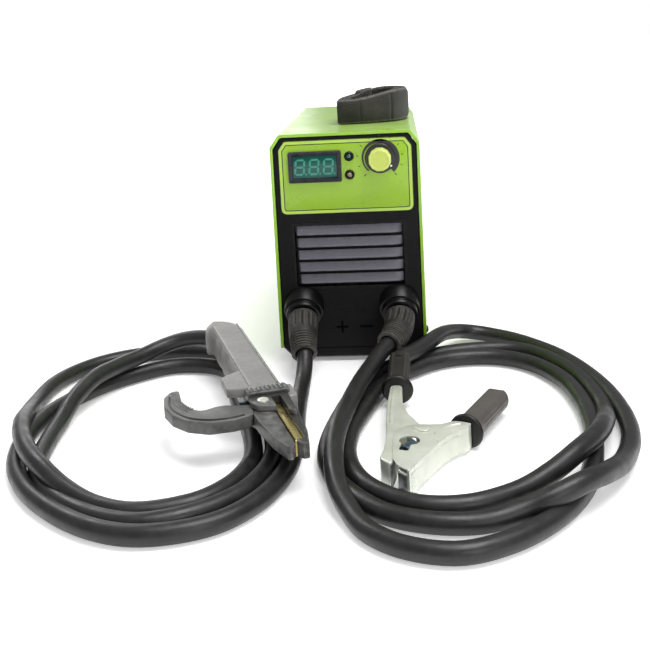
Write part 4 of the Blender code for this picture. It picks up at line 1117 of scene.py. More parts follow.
def lamps():
    """Each lamp is a black bush with a domed lens."""
    lenses = (("power_lamp", "green_lens", "lens_green"), ("fault_lamp", "amber_lens", "lens_amber"))
    for name, look, slot in lenses:
        x, z = face_centre(name)
        face = PLATE_FACE - GAP
        profile = [(0, 4.2), (0.9, 4.2), (1.6, 3.9), (2.2, 3.3), (2.2, 2.8), (0, 2.8)]
        bush = turned((x, face, z), (0, -1, 0), profile, 48, hollow=True)
        piece(name + "_bush", bush, "gloss", "black_plastic", name + "_holder")
        dome = [(0, 2.5), (5.4, 2.5)]
        for i in range(1, 7):
            turn = math.pi / 2 * i / 7
            dome.append((5.4 + 2.4 * math.sin(turn), 2.5 * math.cos(turn)))
        piece(name + "_lens", turned((x, face + 5.0, z), (0, -1, 0), dome, 48), look, slot, name)


def knob():
    """The current knob: a dark skirt with a white pointer dot, and a twelve-sided pale body."""
    cx, cz = KNOB_CENTRE
    base = KNOB_BASE
    profile = [(0, 12.7), (0.4, 13.0), (2.2, 12.9), (2.9, 12.3), (3.0, 10.2), (5.0, 9.9)]
    skirt = turned((cx, base, cz), (0, -1, 0), profile, 72)
    piece("knob_skirt", skirt, "ink", "black_plastic", "current_knob", body="knob")
    cap_front = box_mm("knob_cap")[0].y
    facets, radius = 12, 10.0
    turns = [math.tau * (i + 0.5) / facets for i in range(facets)]
    corners = [(radius * math.cos(turn), radius * math.sin(turn)) for turn in turns]
    rings = []
    for y, shrink in ((base - 3.1, 0.25), (base - 3.5, 0.0), (cap_front + 0.9, 0.45),
                      (cap_front + 0.25, 0.75), (cap_front, 1.3), (cap_front, 2.4),
                      (cap_front + 0.35, 2.7)):
        rings.append([Vector((cx + a, y, cz + b)) for a, b in inset(corners, shrink)])
    piece("knob_body", loft(rings), "knob", "knob_yellow", "knob_cap", body="knob", sharp=24)
    angle = math.radians(POINTER_ANGLE)
    dot = (cx + 11.5 * math.sin(angle), cz + 11.5 * math.cos(angle))
    shape = turned((dot[0], base - 2.8, dot[1]), (0, -1, 0), [(0, 0.95), (0.3, 0.95), (0.45, 0.7)], 24)
    piece("knob_pointer", shape, "white", "knob_yellow", body="knob")


# ---------------------------------------------------------------- rear

def rear_panel():
    """The rear panel with its openings and screws, and what sits in it."""
    fan_low, fan_high = box_mm("fan_rotor")
    fan_x, fan_z = face_centre("fan_rotor")
    panel = rounded_prism(fillet(panel_outline(), 2.5, 5), REAR_FACE - PANEL_THICK, REAR_FACE, "Y", 0.9, 4)
    openings = (disc(fan_x, fan_z, 44.0, 96), box_outline(*box_mm("power_switch_body"), -1.5),
                box_outline(*box_mm("mains_inlet"), -2.5))
    cuts = [prism(outline, REAR_FACE - REAR_CUT, REAR_FACE + REAR_CUT, "Y") for outline in openings]
    piece("rear_moulding", panel, "panel", "black_plastic", "rear_panel", cuts=cuts)
    number = 0
    for x in (-56.0, 56.0):
        for z in (22.0, 186.0):
            number += 1
            screw(f"rear_screw_{number}", (x, REAR_FACE, z), (0, 1, 0), "black_steel")
    fan(fan_x, fan_z, fan_low.y, fan_high.y)
    fan_guard(fan_x, fan_z)
    power_switch()
    mains_inlet()


def fan(x, z, near, far):
    """The rotor: a hub with curved blades."""
    deep = far - near
    profile = [(0, 16.0), (1.0, 17.0), (deep - 1.5, 17.0), (deep - 0.4, 16.2), (deep, 14.0)]
    hub = turned((x, near, z), (0, 1, 0), profile, 64)
    shapes = [hub]
    middle = (near + far) / 2
    blades = 7
    for i in range(blades):
        rings = []
        for k in range(9):
            radius = 15.5 + 25.0 * k / 8
            chord = 17.0 + 5.0 * k / 8
            pitch = math.radians(48 - 16 * k / 8)
            section = []
            for s in range(12):
                around = math.tau * s / 12
                along, thick = chord / 2 * math.cos(around), 0.8 * math.sin(around)
                bow = 1.8 * (1 - (2 * along / chord) ** 2)
                across = along * math.cos(pitch) - (thick + bow) * math.sin(pitch)
                depth = along * math.sin(pitch) + (thick + bow) * math.cos(pitch)
                turn = across / radius + math.tau * i / blades
                section.append(Vector((x + radius * math.cos(turn), middle + depth * 0.9,
                                       z + radius * math.sin(turn))))
            rings.append(section)
        shapes.append(loft(rings))
    piece("fan_impeller", gather(shapes), "panel", "black_plastic", "fan_rotor", body="fan")


def fan_guard(x, z):
    """Rings and spokes of wire outside the panel, with a screwed eye at each corner."""
    plane = REAR_FACE + GAP + 1.2
    thick, rim, eye = 0.9, 45.5, 52.0
    wires = []
    for radius in (12.0, 19.0, 26.0, 33.0, 40.0, rim):
        path = [(x + radius * math.cos(math.tau * i / 72), plane, z + radius * math.sin(math.tau * i / 72))
                for i in range(72)]
        wires.append(wire(path, thick, 10, closed=True))
    for i in range(4):
        angle = math.radians(45 + 90 * i)
        path = [(x + r * math.cos(angle), plane + thick, z + r * math.sin(angle))
                for r in (4.0, 20.0, 36.0, rim)]
        wires.append(wire(path, thick, 10))
        centre = (x + eye * math.cos(angle), plane, z + eye * math.sin(angle))
        loop = [(centre[0] + 3.2 * math.cos(t), plane, centre[2] + 3.2 * math.sin(t))
                for t in (math.tau * k / 24 for k in range(24))]
        wires.append(wire(loop, thick, 10, closed=True))
        wires.append(wire([(x + r * math.cos(angle), plane, z + r * math.sin(angle))
                           for r in (rim, 48.8)], thick, 10))
        screw(f"fan_screw_{i + 1}", (centre[0], plane - 0.4, centre[2]), (0, 1, 0), "zinc", radius=2.7)
    piece("fan_wire_guard", gather(wires), "nickel", "dark_steel", "fan_guard")


def power_switch():
    """The rocker switch, with its on and off marks."""
    low, high = box_mm("power_switch_body")
    rocker_low, rocker_high = box_mm("power_switch_rocker")
    opening = rectangle(rocker_low.x - 0.5, rocker_high.x + 0.5, rocker_low.z - 2.2, rocker_high.z + 2.2)
    opening = fillet(opening, 0.8, 3)
    outer = fillet(box_outline(low, high), 1.6, 3)
    rows = [(outer, REAR_FACE + GAP), (outer, high.y - 0.6), (inset(outer, 0.5), high.y),
            (inset(opening, -0.4), high.y), (opening, high.y - 0.5), (opening, REAR_FACE - REAR_CUT),
            (inset(opening, -1.2), REAR_FACE - REAR_CUT), (inset(opening, -1.2), REAR_FACE + GAP)]
    rings = [[Vector((a, y, b)) for a, b in shape] for shape, y in rows]
    piece("switch_body", loft(rings, hollow=True), "gloss", "black_plastic", "power_switch_body")
    middle = (rocker_low.z + rocker_high.z) / 2
    y = REAR_FACE
    profile = fillet([(y - 6.3, middle - 2.0), (y - 6.3, middle + 2.0), (y - 2.0, middle + 10.8),
                      (y + 1.6, middle + 11.0), (y + 1.6, middle + 3.0), (y + 4.6, middle - 11.0),
                      (y - 1.0, middle - 10.8)], 0.8, 3)
    rocker = rounded_prism(profile, rocker_low.x, rocker_high.x, "X", 0.5, 2)
    piece("switch_rocker", rocker, "gloss", "black_plastic", "power_switch_rocker", body="rocker")
    x = (rocker_low.x + rocker_high.x) / 2
    off = frame_ring(disc(x, middle + 7.0, 2.2, 32), disc(x, middle + 7.0, 1.5, 32), y + 1.5, y + 1.68, "Y")
    piece("switch_mark_off", off, "white", "knob_yellow", body="rocker")
    on = slab((x - 0.4, -0.1, -2.4), (x + 0.4, 0.1, 2.4))
    lean = Matrix.Rotation(math.atan2(3.0, 14.0), 4, "X")
    on.transform(Matrix.Translation((0, y + 3.15, middle - 4.3)) @ lean)
    piece("switch_mark_on", on, "white", "knob_yellow", body="rocker")


def mains_inlet():
    """The recessed appliance inlet with its three pins."""
    low, high = box_mm("mains_inlet")
    cx, cz = face_centre("mains_inlet")
    outer = fillet(box_outline(low, high), 3.0, 6)
    body = fillet(box_outline(low, high, -3), 2.0, 6)
    mouth = fillet([(cx - 12, cz - 8.5), (cx + 12, cz - 8.5), (cx + 12, cz + 4.0), (cx + 7.5, cz + 8.5),
                    (cx - 7.5, cz + 8.5), (cx - 12, cz + 4.0)], 1.2, 3)
    block = rounded_prism(outer, REAR_FACE + GAP, high.y, "Y", 0.7, 3)
    shell = prism(body, low.y, REAR_FACE + 1.0, "Y")
    cavity = prism(mouth, REAR_FACE - 16, high.y + 5, "Y")
    piece("inlet_housing", block, "panel", "black_plastic", "mains_inlet", joins=[shell], cuts=[cavity])
    pins = []
    for dx, dz in ((-7, -2), (7, -2), (0, 3)):
        outline = fillet(rectangle(cx + dx - 1, cx + dx + 1, cz + dz - 2.5, cz + dz + 2.5), 0.5, 2)
        pins.append(rounded_prism(outline, REAR_FACE - 16.5, REAR_FACE - 3, "Y", 0.4, 2))
    piece("inlet_pins", gather(pins), "nickel", "zinc_steel")


# ---------------------------------------------------------------- strap

STRAP_WIDE = 24.5
STRAP_THICK = 1.5
STRAP_TURNS = 6
STRAP_OUTER = [(-9, 62), (10, 61), (32, 65), (46, 72), (55, 86), (58, 104), (56, 122), (48, 134), (34, 138),
               (16, 133), (2, 124), (-6, 112), (-10, 92)]
STRAP_CORE = (27.0, 98.0)


def strap_width(point):
    """The webbing stands taller round the far end of the roll than where it is pressed flat."""
    return STRAP_WIDE - 3.0 + 6.5 * smoothstep(5.0, 55.0, point.x + 0.25 * (point.y - FRONT - 62.0))


def strap_line():
    """The tape's middle line: a spiral from the roll's outside to its inside."""
    count = len(STRAP_OUTER)
    knots = []
    total = count * STRAP_TURNS
    for k in range(total + 1):
        depth = 0.03 + 0.40 * k / total
        a, b = STRAP_OUTER[k % count], STRAP_CORE
        wobble = 0.25 * math.sin(1.7 * k)
        point = Vector(ahead_of_panel((a[0] + (b[0] - a[0]) * depth + wobble,
                                       a[1] + (b[1] - a[1]) * depth + 0.2 * math.cos(2.3 * k))))
        knots.append((point.x, point.y, 0.0))
    curl = ahead_of_panel((15.5, 88.5))
    for j in range(1, 18):
        angle, radius = math.radians(215 + 45 * j), 8.8 - 0.33 * j
        knots.append((curl[0] + radius * math.cos(angle), curl[1] + radius * math.sin(angle), 0.0))
    return smooth_path(knots, 900)


def strap():
    """The rolled webbing: one long tape on its edge, slightly uneven along its edges."""
    line = strap_line()
    floor = TOP + GAP + 0.2
    rows = 13
    mesh = bmesh.new()
    uv_layer = mesh.loops.layers.uv.new("tape")
    grid = {}
    along = 0.0
    lengths = []
    for before, point in zip([line[0]] + line, line):
        along += (point - before).length
        lengths.append(along)
    for i, point in enumerate(line):
        along = lengths[i]
        ahead = (line[min(i + 1, len(line) - 1)] - line[max(i - 1, 0)]).normalized()
        out = Vector((ahead.y, -ahead.x, 0.0))
        lift = 0.5 + 0.5 * math.sin(along * 0.019) * math.sin(along * 0.0057 + 1.0)
        lift += 5.5 * smoothstep(lengths[-1] - 95.0, lengths[-1] - 60.0, along)
        wide = strap_width(point)
        outermost = 1.0 - smoothstep(150.0, 190.0, along)
        crease = sum(math.exp(-((point.x - x) / 0.7) ** 2) for x in (13.0, 41.0)) * (point.y < FRONT + 80.0)
        for face, push in ((0, STRAP_THICK / 2), (1, -STRAP_THICK / 2)):
            for k in range(rows):
                share = k / (rows - 1)
                bow = (0.25 * math.sin(along * 0.05) + 1.3 * outermost) * math.sin(share * math.pi) ** 0.6
                bow -= 1.5 * crease * outermost + 1.2 * outermost * smoothstep(0.86, 1.0, share)
                fray = 0.12 * math.sin(along * 3.1 + k) if k in (0, rows - 1) else 0.0
                thin = push * (0.55 if k in (0, rows - 1) else 1.0)
                seam = -0.18 * (1 if face == 0 else -1) * math.exp(-((share - 0.5) / 0.035) ** 2)
                base = point + out * (thin + bow + seam)
                grid[i, face, k] = mesh.verts.new(base + Vector((0, 0, floor + lift + share * wide + fray)))
    for i in range(len(line) - 1):
        for k in range(rows - 1):
            for face in (0, 1):
                corners = [grid[i, face, k], grid[i + 1, face, k], grid[i + 1, face, k + 1],
                           grid[i, face, k + 1]]
                made = mesh.faces.new(corners)
                for loop, (a, b) in zip(made.loops, ((i, k), (i + 1, k), (i + 1, k + 1), (i, k + 1))):
                    loop[uv_layer].uv = (lengths[a] * MM, b / (rows - 1) * STRAP_WIDE * MM)
        for k in (0, rows - 1):
            made = mesh.faces.new((grid[i, 0, k], grid[i, 1, k], grid[i + 1, 1, k], grid[i + 1, 0, k]))
            for loop, a in zip(made.loops, (i, i, i + 1, i + 1)):
                loop[uv_layer].uv = (lengths[a] * MM, k / (rows - 1) * STRAP_WIDE * MM)
    for i in (0, len(line) - 1):
        for k in range(rows - 1):
            mesh.faces.new((grid[i, 0, k], grid[i, 0, k + 1], grid[i, 1, k + 1], grid[i, 1, k]))
    obj = piece("shoulder_strap", mesh, "webbing", "strap_webbing", "strap", sharp=60)
    stitches = strap_stitches(line, floor)


def strap_stitches(line, floor):
    """Two rows of stitching on the tape's outer turn."""
    shapes = []
    outer_turn = len(line) // STRAP_TURNS
    for row in (0.16, 0.84):
        for i in range(2, outer_turn - 3, 3):
            a, b = line[i], line[i + 2]
            ahead = (b - a).normalized()
            out = Vector((ahead.y, -ahead.x, 0.0)) * (STRAP_THICK / 2 + 0.12)
            out *= 1.0 + 1.1 * math.sin(row * math.pi) ** 0.6
            height = Vector((0, 0, floor + 0.7 + row * strap_width(a)))
            shapes.append(wire([a.lerp(b, 0.1) + out + height, a.lerp(b, 0.5) + out * 1.15 + height,
                                a.lerp(b, 0.85) + out + height], 0.28, 6))
    return piece("strap_stitching", gather(shapes), "thread", "strap_webbing")


def strap_bracket():
    """A pressed loop on a foot plate, held by two screws."""
    low, high = box_mm("strap_bracket")
    foot = slab((low.x, low.y, low.z), (high.x, high.y, low.z + 1.5), 0.6)
    middle = (low.y + high.y) / 2
    half = (high.x - low.x) / 2
    path = [(-half + 2, middle, low.z + 0.5), (-half + 2, middle, low.z + 5.0),
            (-half + 3, middle, high.z - 2.6), (-half + 5.5, middle, high.z - 1.5),
            (half - 5.5, middle, high.z - 1.5), (half - 3, middle, high.z - 2.6),
            (half - 2, middle, low.z + 5.0), (half - 2, middle, low.z + 0.5)]
    rings = []
    points = smooth_path(path, 40)
    last = len(points) - 1
    for i, point in enumerate(points):
        ahead = (points[min(i + 1, last)] - points[max(i - 1, 0)]).normalized()
        across = Vector((0, 1, 0))
        upward = across.cross(ahead)
        rings.append([point + across * (2.2 * math.cos(t)) + upward * (1.4 * math.sin(t))
                      for t in (math.tau * k / 20 for k in range(20))])
    piece("strap_loop", gather([foot, loft(rings)]), "black_steel", "tray_steel", "strap_bracket")
    for i, x in enumerate((-9.0, 9.0)):
        screw(f"strap_screw_{i + 1}", (x, low.y + 2.6, low.z + 1.2), (0, 0, 1), "zinc", radius=2.0)


# ---------------------------------------------------------------- electrode holder

HOLDER_AXIS = Vector((0.342, -0.940, 0.0)).normalized()
HANDLE_PATH = [(178, 0), (163, 0), (120, 0), (80, 0), (45, 0), (28, 0), (18.8, 3.9), (14, 11.5)]
GUARD = [(182, 7), (177, 27), (152, 27), (142, 12), (142, -8), (178, -10)]
COLLAR = [(178.2, 15), (190, 14), (190, -17), (178.2, -16)]
FIXED_JAW = [(178, -17), (178, 9), (186, 3), (191, -3.3), (201, -3.3), (204, -2.6), (266, -2.6),
             (270, -5), (270, -9), (250, -13), (215, -16)]
EAR = [(178, -15), (178, 9), (188, 13.5), (199, 14), (207, 11), (212, -3), (228, -13)]
MOVING_JAW = [(190, 7.5), (192, 0.5), (198, -0.9), (266, -0.9), (271, 2.5), (269, 5.5), (250, 10.5),
              (222, 14), (208, 14.5)]
SPRING_LEAF = [(179.4, 9.4), (182.8, 13.2), (181.5, 19.5), (180.4, 19.3), (181.5, 13.6), (179.4, 11)]
LEVER_TAIL = [(-60, -201), (-72, -210), (-89, -215), (-105, -211), (-118, -200), (-127, -185), (-131, -168),
              (-129, -157), (-123, -154), (-116, -176), (-107, -189), (-98, -194), (-90, -187), (-83, -184),
              (-73, -185), (-63, -183)]
HOLDER_PIVOT = (200.0, 5.5)


def holder_point(along, aside=0.0, z=HOLDER_Z):
    """A point measured along the holder from its butt, and to its lever's side."""
    butt = Vector(ahead_of_panel((-118, 0, z)))
    side = Vector((HOLDER_AXIS.y, -HOLDER_AXIS.x, 0.0))
    return butt + HOLDER_AXIS * along + side * aside


def holder_plan(outline):
    return [tuple(holder_point(along, aside).to_2d()) for along, aside in outline]


def holder_block(outline, low, high, edge, steps, corner=0.0, corner_steps=5):
    """A flat block with rounded edges, its outline along the holder and its two levels from the middle."""
    plan = holder_plan(outline)
    if corner:
        plan = fillet(plan, corner, corner_steps)
    return rounded_prism(plan, HOLDER_Z + low, HOLDER_Z + high, "Z", edge, steps)


def hinge_bore():
    return rod(holder_point(*HOLDER_PIVOT, 10), holder_point(*HOLDER_PIVOT, 50), 2.8, 32)


def panel_plan(outline, shift=(0.0, 0.0)):
    return [ahead_of_panel((x + shift[0], y + shift[1])) for x, y in outline]


def handle():
    """The handle: a flat top, rounded flanks with grooves, and finger notches on the far side."""
    path = smooth_path([holder_point(along, aside) for along, aside in HANDLE_PATH], 110)
    total = sum((b - a).length for a, b in zip(path, path[1:]))

    def section(along, angle):
        reach = 178.0 - along
        wide, tall = 15.0, 14.2
        if along > total - 26:
            shrink = smoothstep(total - 26, total, along)
            wide, tall = 15.0 - 1.4 * shrink, 14.2 - 0.8 * shrink
        power = 0.62
        c, s = math.cos(angle), math.sin(angle)
        across = wide * math.copysign(abs(c) ** power, c)
        above = tall * math.copysign(abs(s) ** power, s)
        above = min(above, tall * 0.94)
        flank = 1.0 - smoothstep(0.55, 0.8, abs(s))
        near_side = flank if c > 0 else 0.0
        far_side = flank if c < 0 else 0.0
        grooved = smoothstep(62, 68, reach) * (1 - smoothstep(112, 118, reach))
        grooves = 0.0
        for centre in (-0.42, -0.1, 0.22):
            grooves = max(grooves, math.exp(-((s - centre) / 0.07) ** 2))
        across -= near_side * grooved * 1.0 * grooves
        stepped = smoothstep(58, 59.5, reach) * (1 - smoothstep(62, 63.5, reach))
        across -= near_side * stepped * 1.4
        for notch in (44.0, 72.0, 100.0):
            across += far_side * 1.9 * math.exp(-((reach - notch) / 9.0) ** 2)
        end = smoothstep(0.0, 2.2, along)
        across *= 0.93 + 0.07 * end
        above *= 0.93 + 0.07 * end
        return across, above

    shell = sweep(path, section, 96, (BORE_RADIUS, 11.0))
    piece("holder_grip", shell, "handle", "holder_grey", "holder_handle", sharp=40)
    piece("holder_guard", holder_block(GUARD, 5.8, 13.0, 1.2, 4, 2.2), "handle", "holder_grey")
    ridges = []
    for aside in (-10.2, 10.2):
        ridge = [(24, aside - 0.5), (24, aside + 0.5), (177, aside + 0.5), (177, aside - 0.5)]
        ridges.append(holder_block(ridge, 12.2, 13.7, 0.2, 2))
    piece("holder_facet_ridges", gather(ridges), "handle", "holder_grey")


def holder_head():
    """The fixed jaw, its collar with a ribbed rim, and the two ears of the hinge."""
    jaw = holder_block(FIXED_JAW, -5.5, 5.5, 0.8, 3, 1.6, 4)
    collars = [holder_block(COLLAR, low, high, 1.2, 4, 2.4, 4)
               for low, high in ((-12.5, -5.2), (5.2, 12.5))]
    spine = holder_block([(177.8, -5), (177.8, -14.5), (190, -14.5), (190, -5)], -9, 9, 0.6, 2)
    ears = [holder_block(EAR, low, high, 0.9, 3, 2.6) for low, high in ((-9.5, -5.1), (5.1, 9.5))]
    groove_plan = holder_plan([(194, -8.2), (194, -1.5), (262, -1.5), (262, -8.2)])
    groove = prism(groove_plan, HOLDER_Z + 2.2, HOLDER_Z + 20)
    piece("holder_jaw_block", jaw, "jaw", "holder_dark", "holder_head", joins=[*collars, spine, *ears],
          cuts=[hinge_bore(), groove])
    teeth = []
    for i in range(9):
        aside = -14.5 + i * 3.2
        outline = [(179.4, aside), (179.4, aside + 1.6), (188.8, aside + 1.6), (188.8, aside)]
        teeth.append(holder_block(outline, 12.2, 13.2, 0.3, 2))
    piece("holder_collar_ribs", gather(teeth), "jaw", "holder_dark")
    fin = holder_block([(172, -14.5), (173, -21), (194, -21), (197, -14.5)], -6.0, 9.0, 1.2, 3, 1.6, 4)
    piece("holder_fin", fin, "handle", "holder_grey")


def holder_lever():
    """The lever and sprung jaw, with a ridge along the hook and ribs for the thumb."""
    jaw = holder_block(MOVING_JAW, -4.7, 4.7, 0.8, 3, 1.6, 4)
    tail_plan = fillet(panel_plan(LEVER_TAIL), 7.0, 6)
    tail = rounded_prism(tail_plan, HOLDER_Z - 4.7, HOLDER_Z + 4.7, "Z", 1.1, 4)
    piece("holder_press_lever", tail, "lever", "holder_grey", "holder_lever", body="lever",
          cuts=[hinge_bore()])
    piece("holder_swing_jaw", jaw, "jaw", "holder_dark", body="lever", cuts=[hinge_bore()])
    ridge = [(-66, -203), (-76, -208.5), (-90, -211), (-103, -207.5), (-114.5, -197.5), (-123, -183.5),
             (-127, -168)]
    piece("lever_ridge", wire(plan_path(ridge, HOLDER_Z + 4.7, 60), 0.9, 8), "ink", "holder_dark",
          body="lever")
    inner = [(-122.5, -158), (-117.5, -172), (-111.5, -182), (-104.5, -189)]
    outer = [(-127.5, -161), (-124, -176), (-117.5, -188), (-109, -196.5)]
    lines = (plan_path(line, HOLDER_Z + 4.6, 16) for line in (inner, outer))
    ribs = [wire([a.lerp(b, share) for share in (0.1, 0.5, 0.9)], 0.55, 8) for a, b in zip(*lines)]
    piece("lever_thumb_ribs", gather(ribs), "lever", "holder_grey", body="lever")


def holder_fittings():
    """The pivot pin, the brass inserts that grip the rod, and the leaf spring."""
    low, high = box_mm("holder_pivot_pin")
    centre = holder_point(*HOLDER_PIVOT, low.z)
    tall = high.z - low.z
    profile = [(0, 3.8), (0.4, 4.2), (1.5, 4.2), (1.5, 2.4), (tall - 1.5, 2.4), (tall - 1.5, 4.2),
               (tall - 0.5, 3.9), (tall, 2.8)]
    pin = turned(centre, (0, 0, 1), profile, 40)
    piece("holder_hinge_pin", pin, "zinc", "zinc_steel", "holder_pivot_pin")
    outline = [(214, -2.3), (264, -2.3), (264, -1.3)]
    for i in range(12):
        along = 264 - (i + 0.5) * 50 / 12
        outline += [(along, -1.75), (264 - (i + 1) * 50 / 12, -1.3)]
    strip = holder_block(outline, -5.5, 5.5, 0.15, 1)
    piece("holder_brass_insert", strip, "brass", "brass", "holder_contact")
    bar = holder_block([(195, -7.9), (195, -2.9), (261, -2.9), (261, -7.9)], 1.6, 3.6, 0.3, 2)
    piece("holder_brass_bar", bar, "brass", "brass")
    leaf = holder_block(SPRING_LEAF, -3.5, 3.5, 0.2, 1, 0.8, 3)
    piece("holder_leaf_spring", leaf, "spring", "dark_steel", "holder_spring")


# ---------------------------------------------------------------- earth clamp

ARM_FIXED = [(33, -112), (30.5, -150), (30, -185), (30.5, -205), (29, -225), (26, -240), (34, -250),
             (37, -233), (38, -215), (39, -203), (43, -195), (51, -194), (50, -207), (62, -207),
             (63, -194), (54, -187), (46, -167), (42, -145), (42, -112)]
ARM_MOVING = [(78, -184.5), (88.5, -189.6), (86, -196), (80, -200.5), (73, -208), (66, -219),
              (60, -231), (52, -247), (45, -263), (36.5, -253), (42, -240), (48, -228), (52, -218),
              (50.5, -207), (50.5, -194), (57, -190.5), (66, -195), (74, -187)]
CLAMP_SPRING = (46.0, -216.5)
CLAMP_WALL = 1.5


def clamp_bore(low, high, radius):
    """What is cut for the clamp's rivet between two levels."""
    x, y = ahead_of_panel(CLAMP_PIVOT)
    return rod((x, y, low), (x, y, high), radius, 32)


def pressed_arm(name, node, body, outline, inset_ends, shift, cuts):
    """A pressed channel: a rounded block hollowed by its own shifted outline."""
    low, high = CLAMP_BOTTOM + inset_ends, CLAMP_TOP - inset_ends
    block = rounded_prism(fillet(panel_plan(outline), 8.0, 6), low, high, "Z", 1.3, 4)
    hollow = prism(panel_plan(outline, shift), low + CLAMP_WALL, high - CLAMP_WALL)
    piece(name, block, "zinc", "zinc_steel", node, body=body, cuts=[hollow, *cuts])


def clamp():
    """Both arms with their beads, the jaws' teeth, the rivet, the coil spring and the two grips."""
    lap_plan = panel_plan([(48, -210), (72, -210), (72, -186), (48, -186)])
    lap = prism(lap_plan, CLAMP_BOTTOM + CLAMP_WALL, CLAMP_TOP - CLAMP_WALL)
    pressed_arm("clamp_body_arm", "clamp_arm_fixed", "machine", ARM_FIXED, 0.0, (1.8, 1.0),
                [lap, clamp_bore(-5, 30, 3.0)])
    pressed_arm("clamp_swing_arm", "clamp_arm_moving", "clamp_arm", ARM_MOVING, 1.8, (-1.7, 1.0),
                [clamp_bore(-5, 30, 3.0), *spring_window()])
    clamp_cheek()
    beads = (("clamp_bead_fixed", "machine", CLAMP_TOP,
              [(36, -118), (34.5, -145), (33.6, -165), (33.6, -184)]),
             ("clamp_bead_moving", "clamp_arm", CLAMP_TOP + 1.2,
              [(81, -190.5), (74, -194), (68, -199.5), (63, -207)]))
    for name, body, top, line in beads:
        piece(name, wire(plan_path(line, top - 0.5, 40), 1.3, 12), "zinc", "zinc_steel", body=body)
    x, y = ahead_of_panel(CLAMP_PIVOT)
    profile = [(0, 4.0), (0.3, 4.6), (0.9, 4.6), (0.9, 2.6), (CLAMP_TOP + 1.3, 2.6), (CLAMP_TOP + 1.3, 4.6),
               (CLAMP_TOP + 1.7, 4.4), (CLAMP_TOP + 2.1, 3.6), (CLAMP_TOP + 2.3, 2.2)]
    rivet = turned((x, y, 0.1), (0, 0, 1), profile, 40)
    piece("clamp_hinge_rivet", rivet, "zinc", "zinc_steel", "clamp_rivet")
    clamp_spring()
    jaws()
    grips()


def spring_window():
    """The round window over the coil spring, and the keyhole slot under it."""
    x, y = ahead_of_panel((46.0, -217.0))
    slot = panel_plan([(41.0, -219), (47.5, -221), (45.0, -233), (38.5, -231)])
    return [rod((x, y, 4), (x, y, 30), 7.0, 48), prism(fillet(slot, 1.5, 4), 4, 30)]


def clamp_cheek():
    """The swinging arm's cheek plate, which laps over the cable arm, and its outer wall."""
    outer = [(88.5, -189.6), (86, -196), (80, -200.5), (73, -208), (66, -219), (60, -231), (52, -247),
             (45, -262)]
    inner = [(37.6, -253), (35, -243), (34.6, -228), (35.2, -212), (37, -199), (44, -192.5), (52, -190),
             (60, -190.5), (68, -190.5), (78, -184.8)]
    plan = fillet(panel_plan(outer + inner), 8.0, 6)
    plate = rounded_prism(plan, CLAMP_TOP + 0.15, CLAMP_TOP + 1.2, "Z", 0.4, 2)
    edge = [(p.x, p.y) for p in plan_path(outer, 0, 48)]
    inside = [(a - 1.4, b + 1.0) for a, b in edge[::-1]]
    wall = prism(edge + inside, CLAMP_BOTTOM + 1.8, CLAMP_TOP + 0.8)
    piece("clamp_cheek_plate", plate, "zinc", "zinc_steel", body="clamp_arm", joins=[wall],
          cuts=[clamp_bore(10, 30, 2.9), *spring_window()])
    lug = fillet(panel_plan([(49.5, -196), (56, -197.5), (55.5, -200), (49, -198.5)]), 1.0, 4)
    emboss = rounded_prism(lug, CLAMP_TOP + 0.9, CLAMP_TOP + 2.0, "Z", 0.5, 3)
    piece("clamp_embossed_lug", emboss, "zinc", "zinc_steel", body="clamp_arm")


def clamp_spring():
    """A wound spring lying across the arms."""
    x, y = ahead_of_panel(CLAMP_SPRING)
    low, high = box_mm("clamp_spring")
    centre = Vector((x, y, (low.z + high.z) / 2 + 1.6))
    lean = Vector((0.5, 0.87, 0.0)).normalized()
    side, upward = frame_of(lean)
    turns, radius = 7, 5.2
    path = []
    for i in range(turns * 24 + 1):
        angle = math.tau * i / 24
        along = (i / (turns * 24) - 0.5) * 12.5
        path.append(centre + lean * along + side * (radius * math.cos(angle))
                    + upward * (radius * math.sin(angle) * 1.1))
    piece("clamp_coil_spring", wire(path, 0.75, 10), "spring", "dark_steel", "clamp_spring")


def jaws():
    """Toothed contact blocks in both jaws."""
    sets = (("clamp_teeth_fixed", "machine", [(27.2, -239.5), (33.8, -248.5), (36.4, -234), (30, -230)],
             CLAMP_BOTTOM + 1.6, CLAMP_TOP - 1.6),
            ("clamp_teeth_moving", "clamp_arm",
             [(45.2, -261.0), (37.8, -252.6), (42.6, -241), (50.5, -247)],
             CLAMP_BOTTOM + 3.2, CLAMP_TOP - 3.2))
    for name, body, outline, low, high in sets:
        shape = rounded_prism(fillet(panel_plan(outline), 0.8, 3), low, high, "Z", 0.4, 2)
        piece(name, shape, "teeth", "dark_steel", body=body)


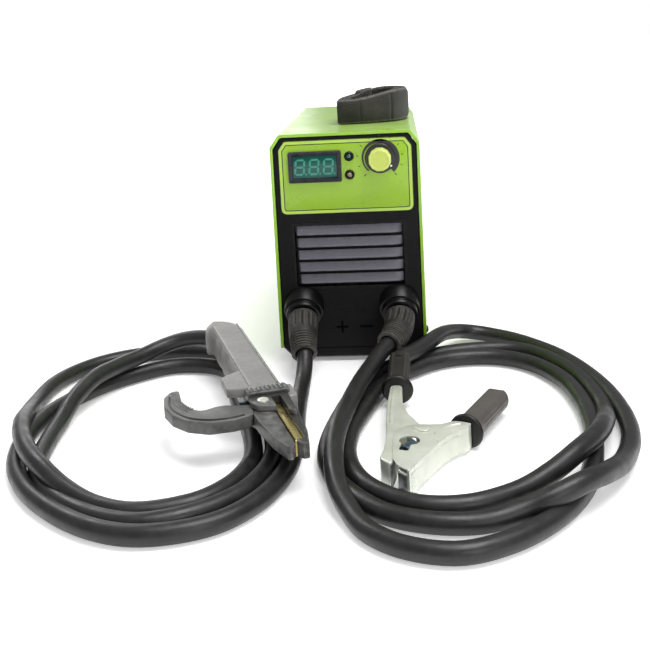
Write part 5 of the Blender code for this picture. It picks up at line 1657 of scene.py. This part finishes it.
def grips():
    """A rubber ring and a flattened, ribbed grip on each arm."""
    sets = (("fixed", "sleeve", "machine", (38.2, -111.5, 14.2), (40.9, -62.0, 23.0), 8.7, True),
            ("moving", "grip", "clamp_arm", (84.6, -186.5, 12.6), (114.0, -123.0, 12.6), 9.4, False))
    for kind, look, body, ring_end, butt, radius, has_cable in sets:
        start, end = Vector(ahead_of_panel(ring_end)), Vector(ahead_of_panel(butt))
        ahead = (end - start).normalized()
        turns = [math.pi * i / 8 for i in range(9)]
        collar = [(2.6 - 2.4 * math.cos(turn), 9.6 + 2.8 * math.sin(turn)) for turn in turns]
        piece(f"clamp_ring_{kind}", turned(start, ahead, collar, 64), "rubber", "grip_rubber", body=body)
        grip_start = start + ahead * 4.6
        length = (end - grip_start).length

        def section(along, angle, radius=radius, length=length, has_cable=has_cable):
            c, s = math.cos(angle), math.sin(angle)
            size = radius + 0.6 * (1 - smoothstep(0, 9, along))
            if not has_cable:
                size -= 2.6 * max(0.0, (along - length + 5) / 5) ** 2
            else:
                size -= 0.9 * smoothstep(length - 2.0, length, along)
            across, above = size * c, size * s
            above = min(above, size * 0.80)
            for groove in (-0.35, 0.0, 0.35):
                depth = math.exp(-((s - groove) / 0.07) ** 2) * smoothstep(8, 12, along)
                across -= math.copysign(0.5 * depth * (1 - smoothstep(length - 10, length - 6, along)), c)
            return across, above

        path = [grip_start + ahead * (length * i / 60) for i in range(61)]
        bore = (BORE_RADIUS, 8.0) if has_cable else None
        shell = sweep(path, section, 72, bore)
        piece(f"clamp_sleeve_{kind}", shell, look, "grip_rubber", f"clamp_grip_{kind}", body=body, sharp=45)


# ---------------------------------------------------------------- nodes kept as they are

KEPT_NODES = {
    "main_board": "board", "control_board": "board", "heatsink_rectifier": "aluminium",
    "heatsink_switch": "aluminium",
    "bus_capacitor_1": "can", "bus_capacitor_2": "can", "transformer": "winding", "output_choke": "winding",
    "bus_bar_positive": "copper", "bus_bar_negative": "copper", "potentiometer_shaft": "nickel",
    "potentiometer_body": "nickel", "fan_frame": "panel", "socket_insert_positive": "brass",
    "socket_insert_negative": "brass", "plug_pin_positive": "brass", "plug_pin_negative": "brass",
}


def dress_kept_nodes():
    for name, look in KEPT_NODES.items():
        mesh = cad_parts[name].data
        mesh.materials.clear()
        mesh.materials.append(LOOKS[look])


# ---------------------------------------------------------------- the whole picture

def main():
    make_camera()
    make_surfaces()
    sockets_and_leads()
    make_floor()
    make_lights()
    cover()
    tray()
    front_panel()
    louvres()
    control_plate()
    display()
    lamps()
    knob()
    rear_panel()
    strap()
    strap_bracket()
    handle()
    holder_head()
    holder_lever()
    holder_fittings()
    clamp()
    dress_kept_nodes()


main()
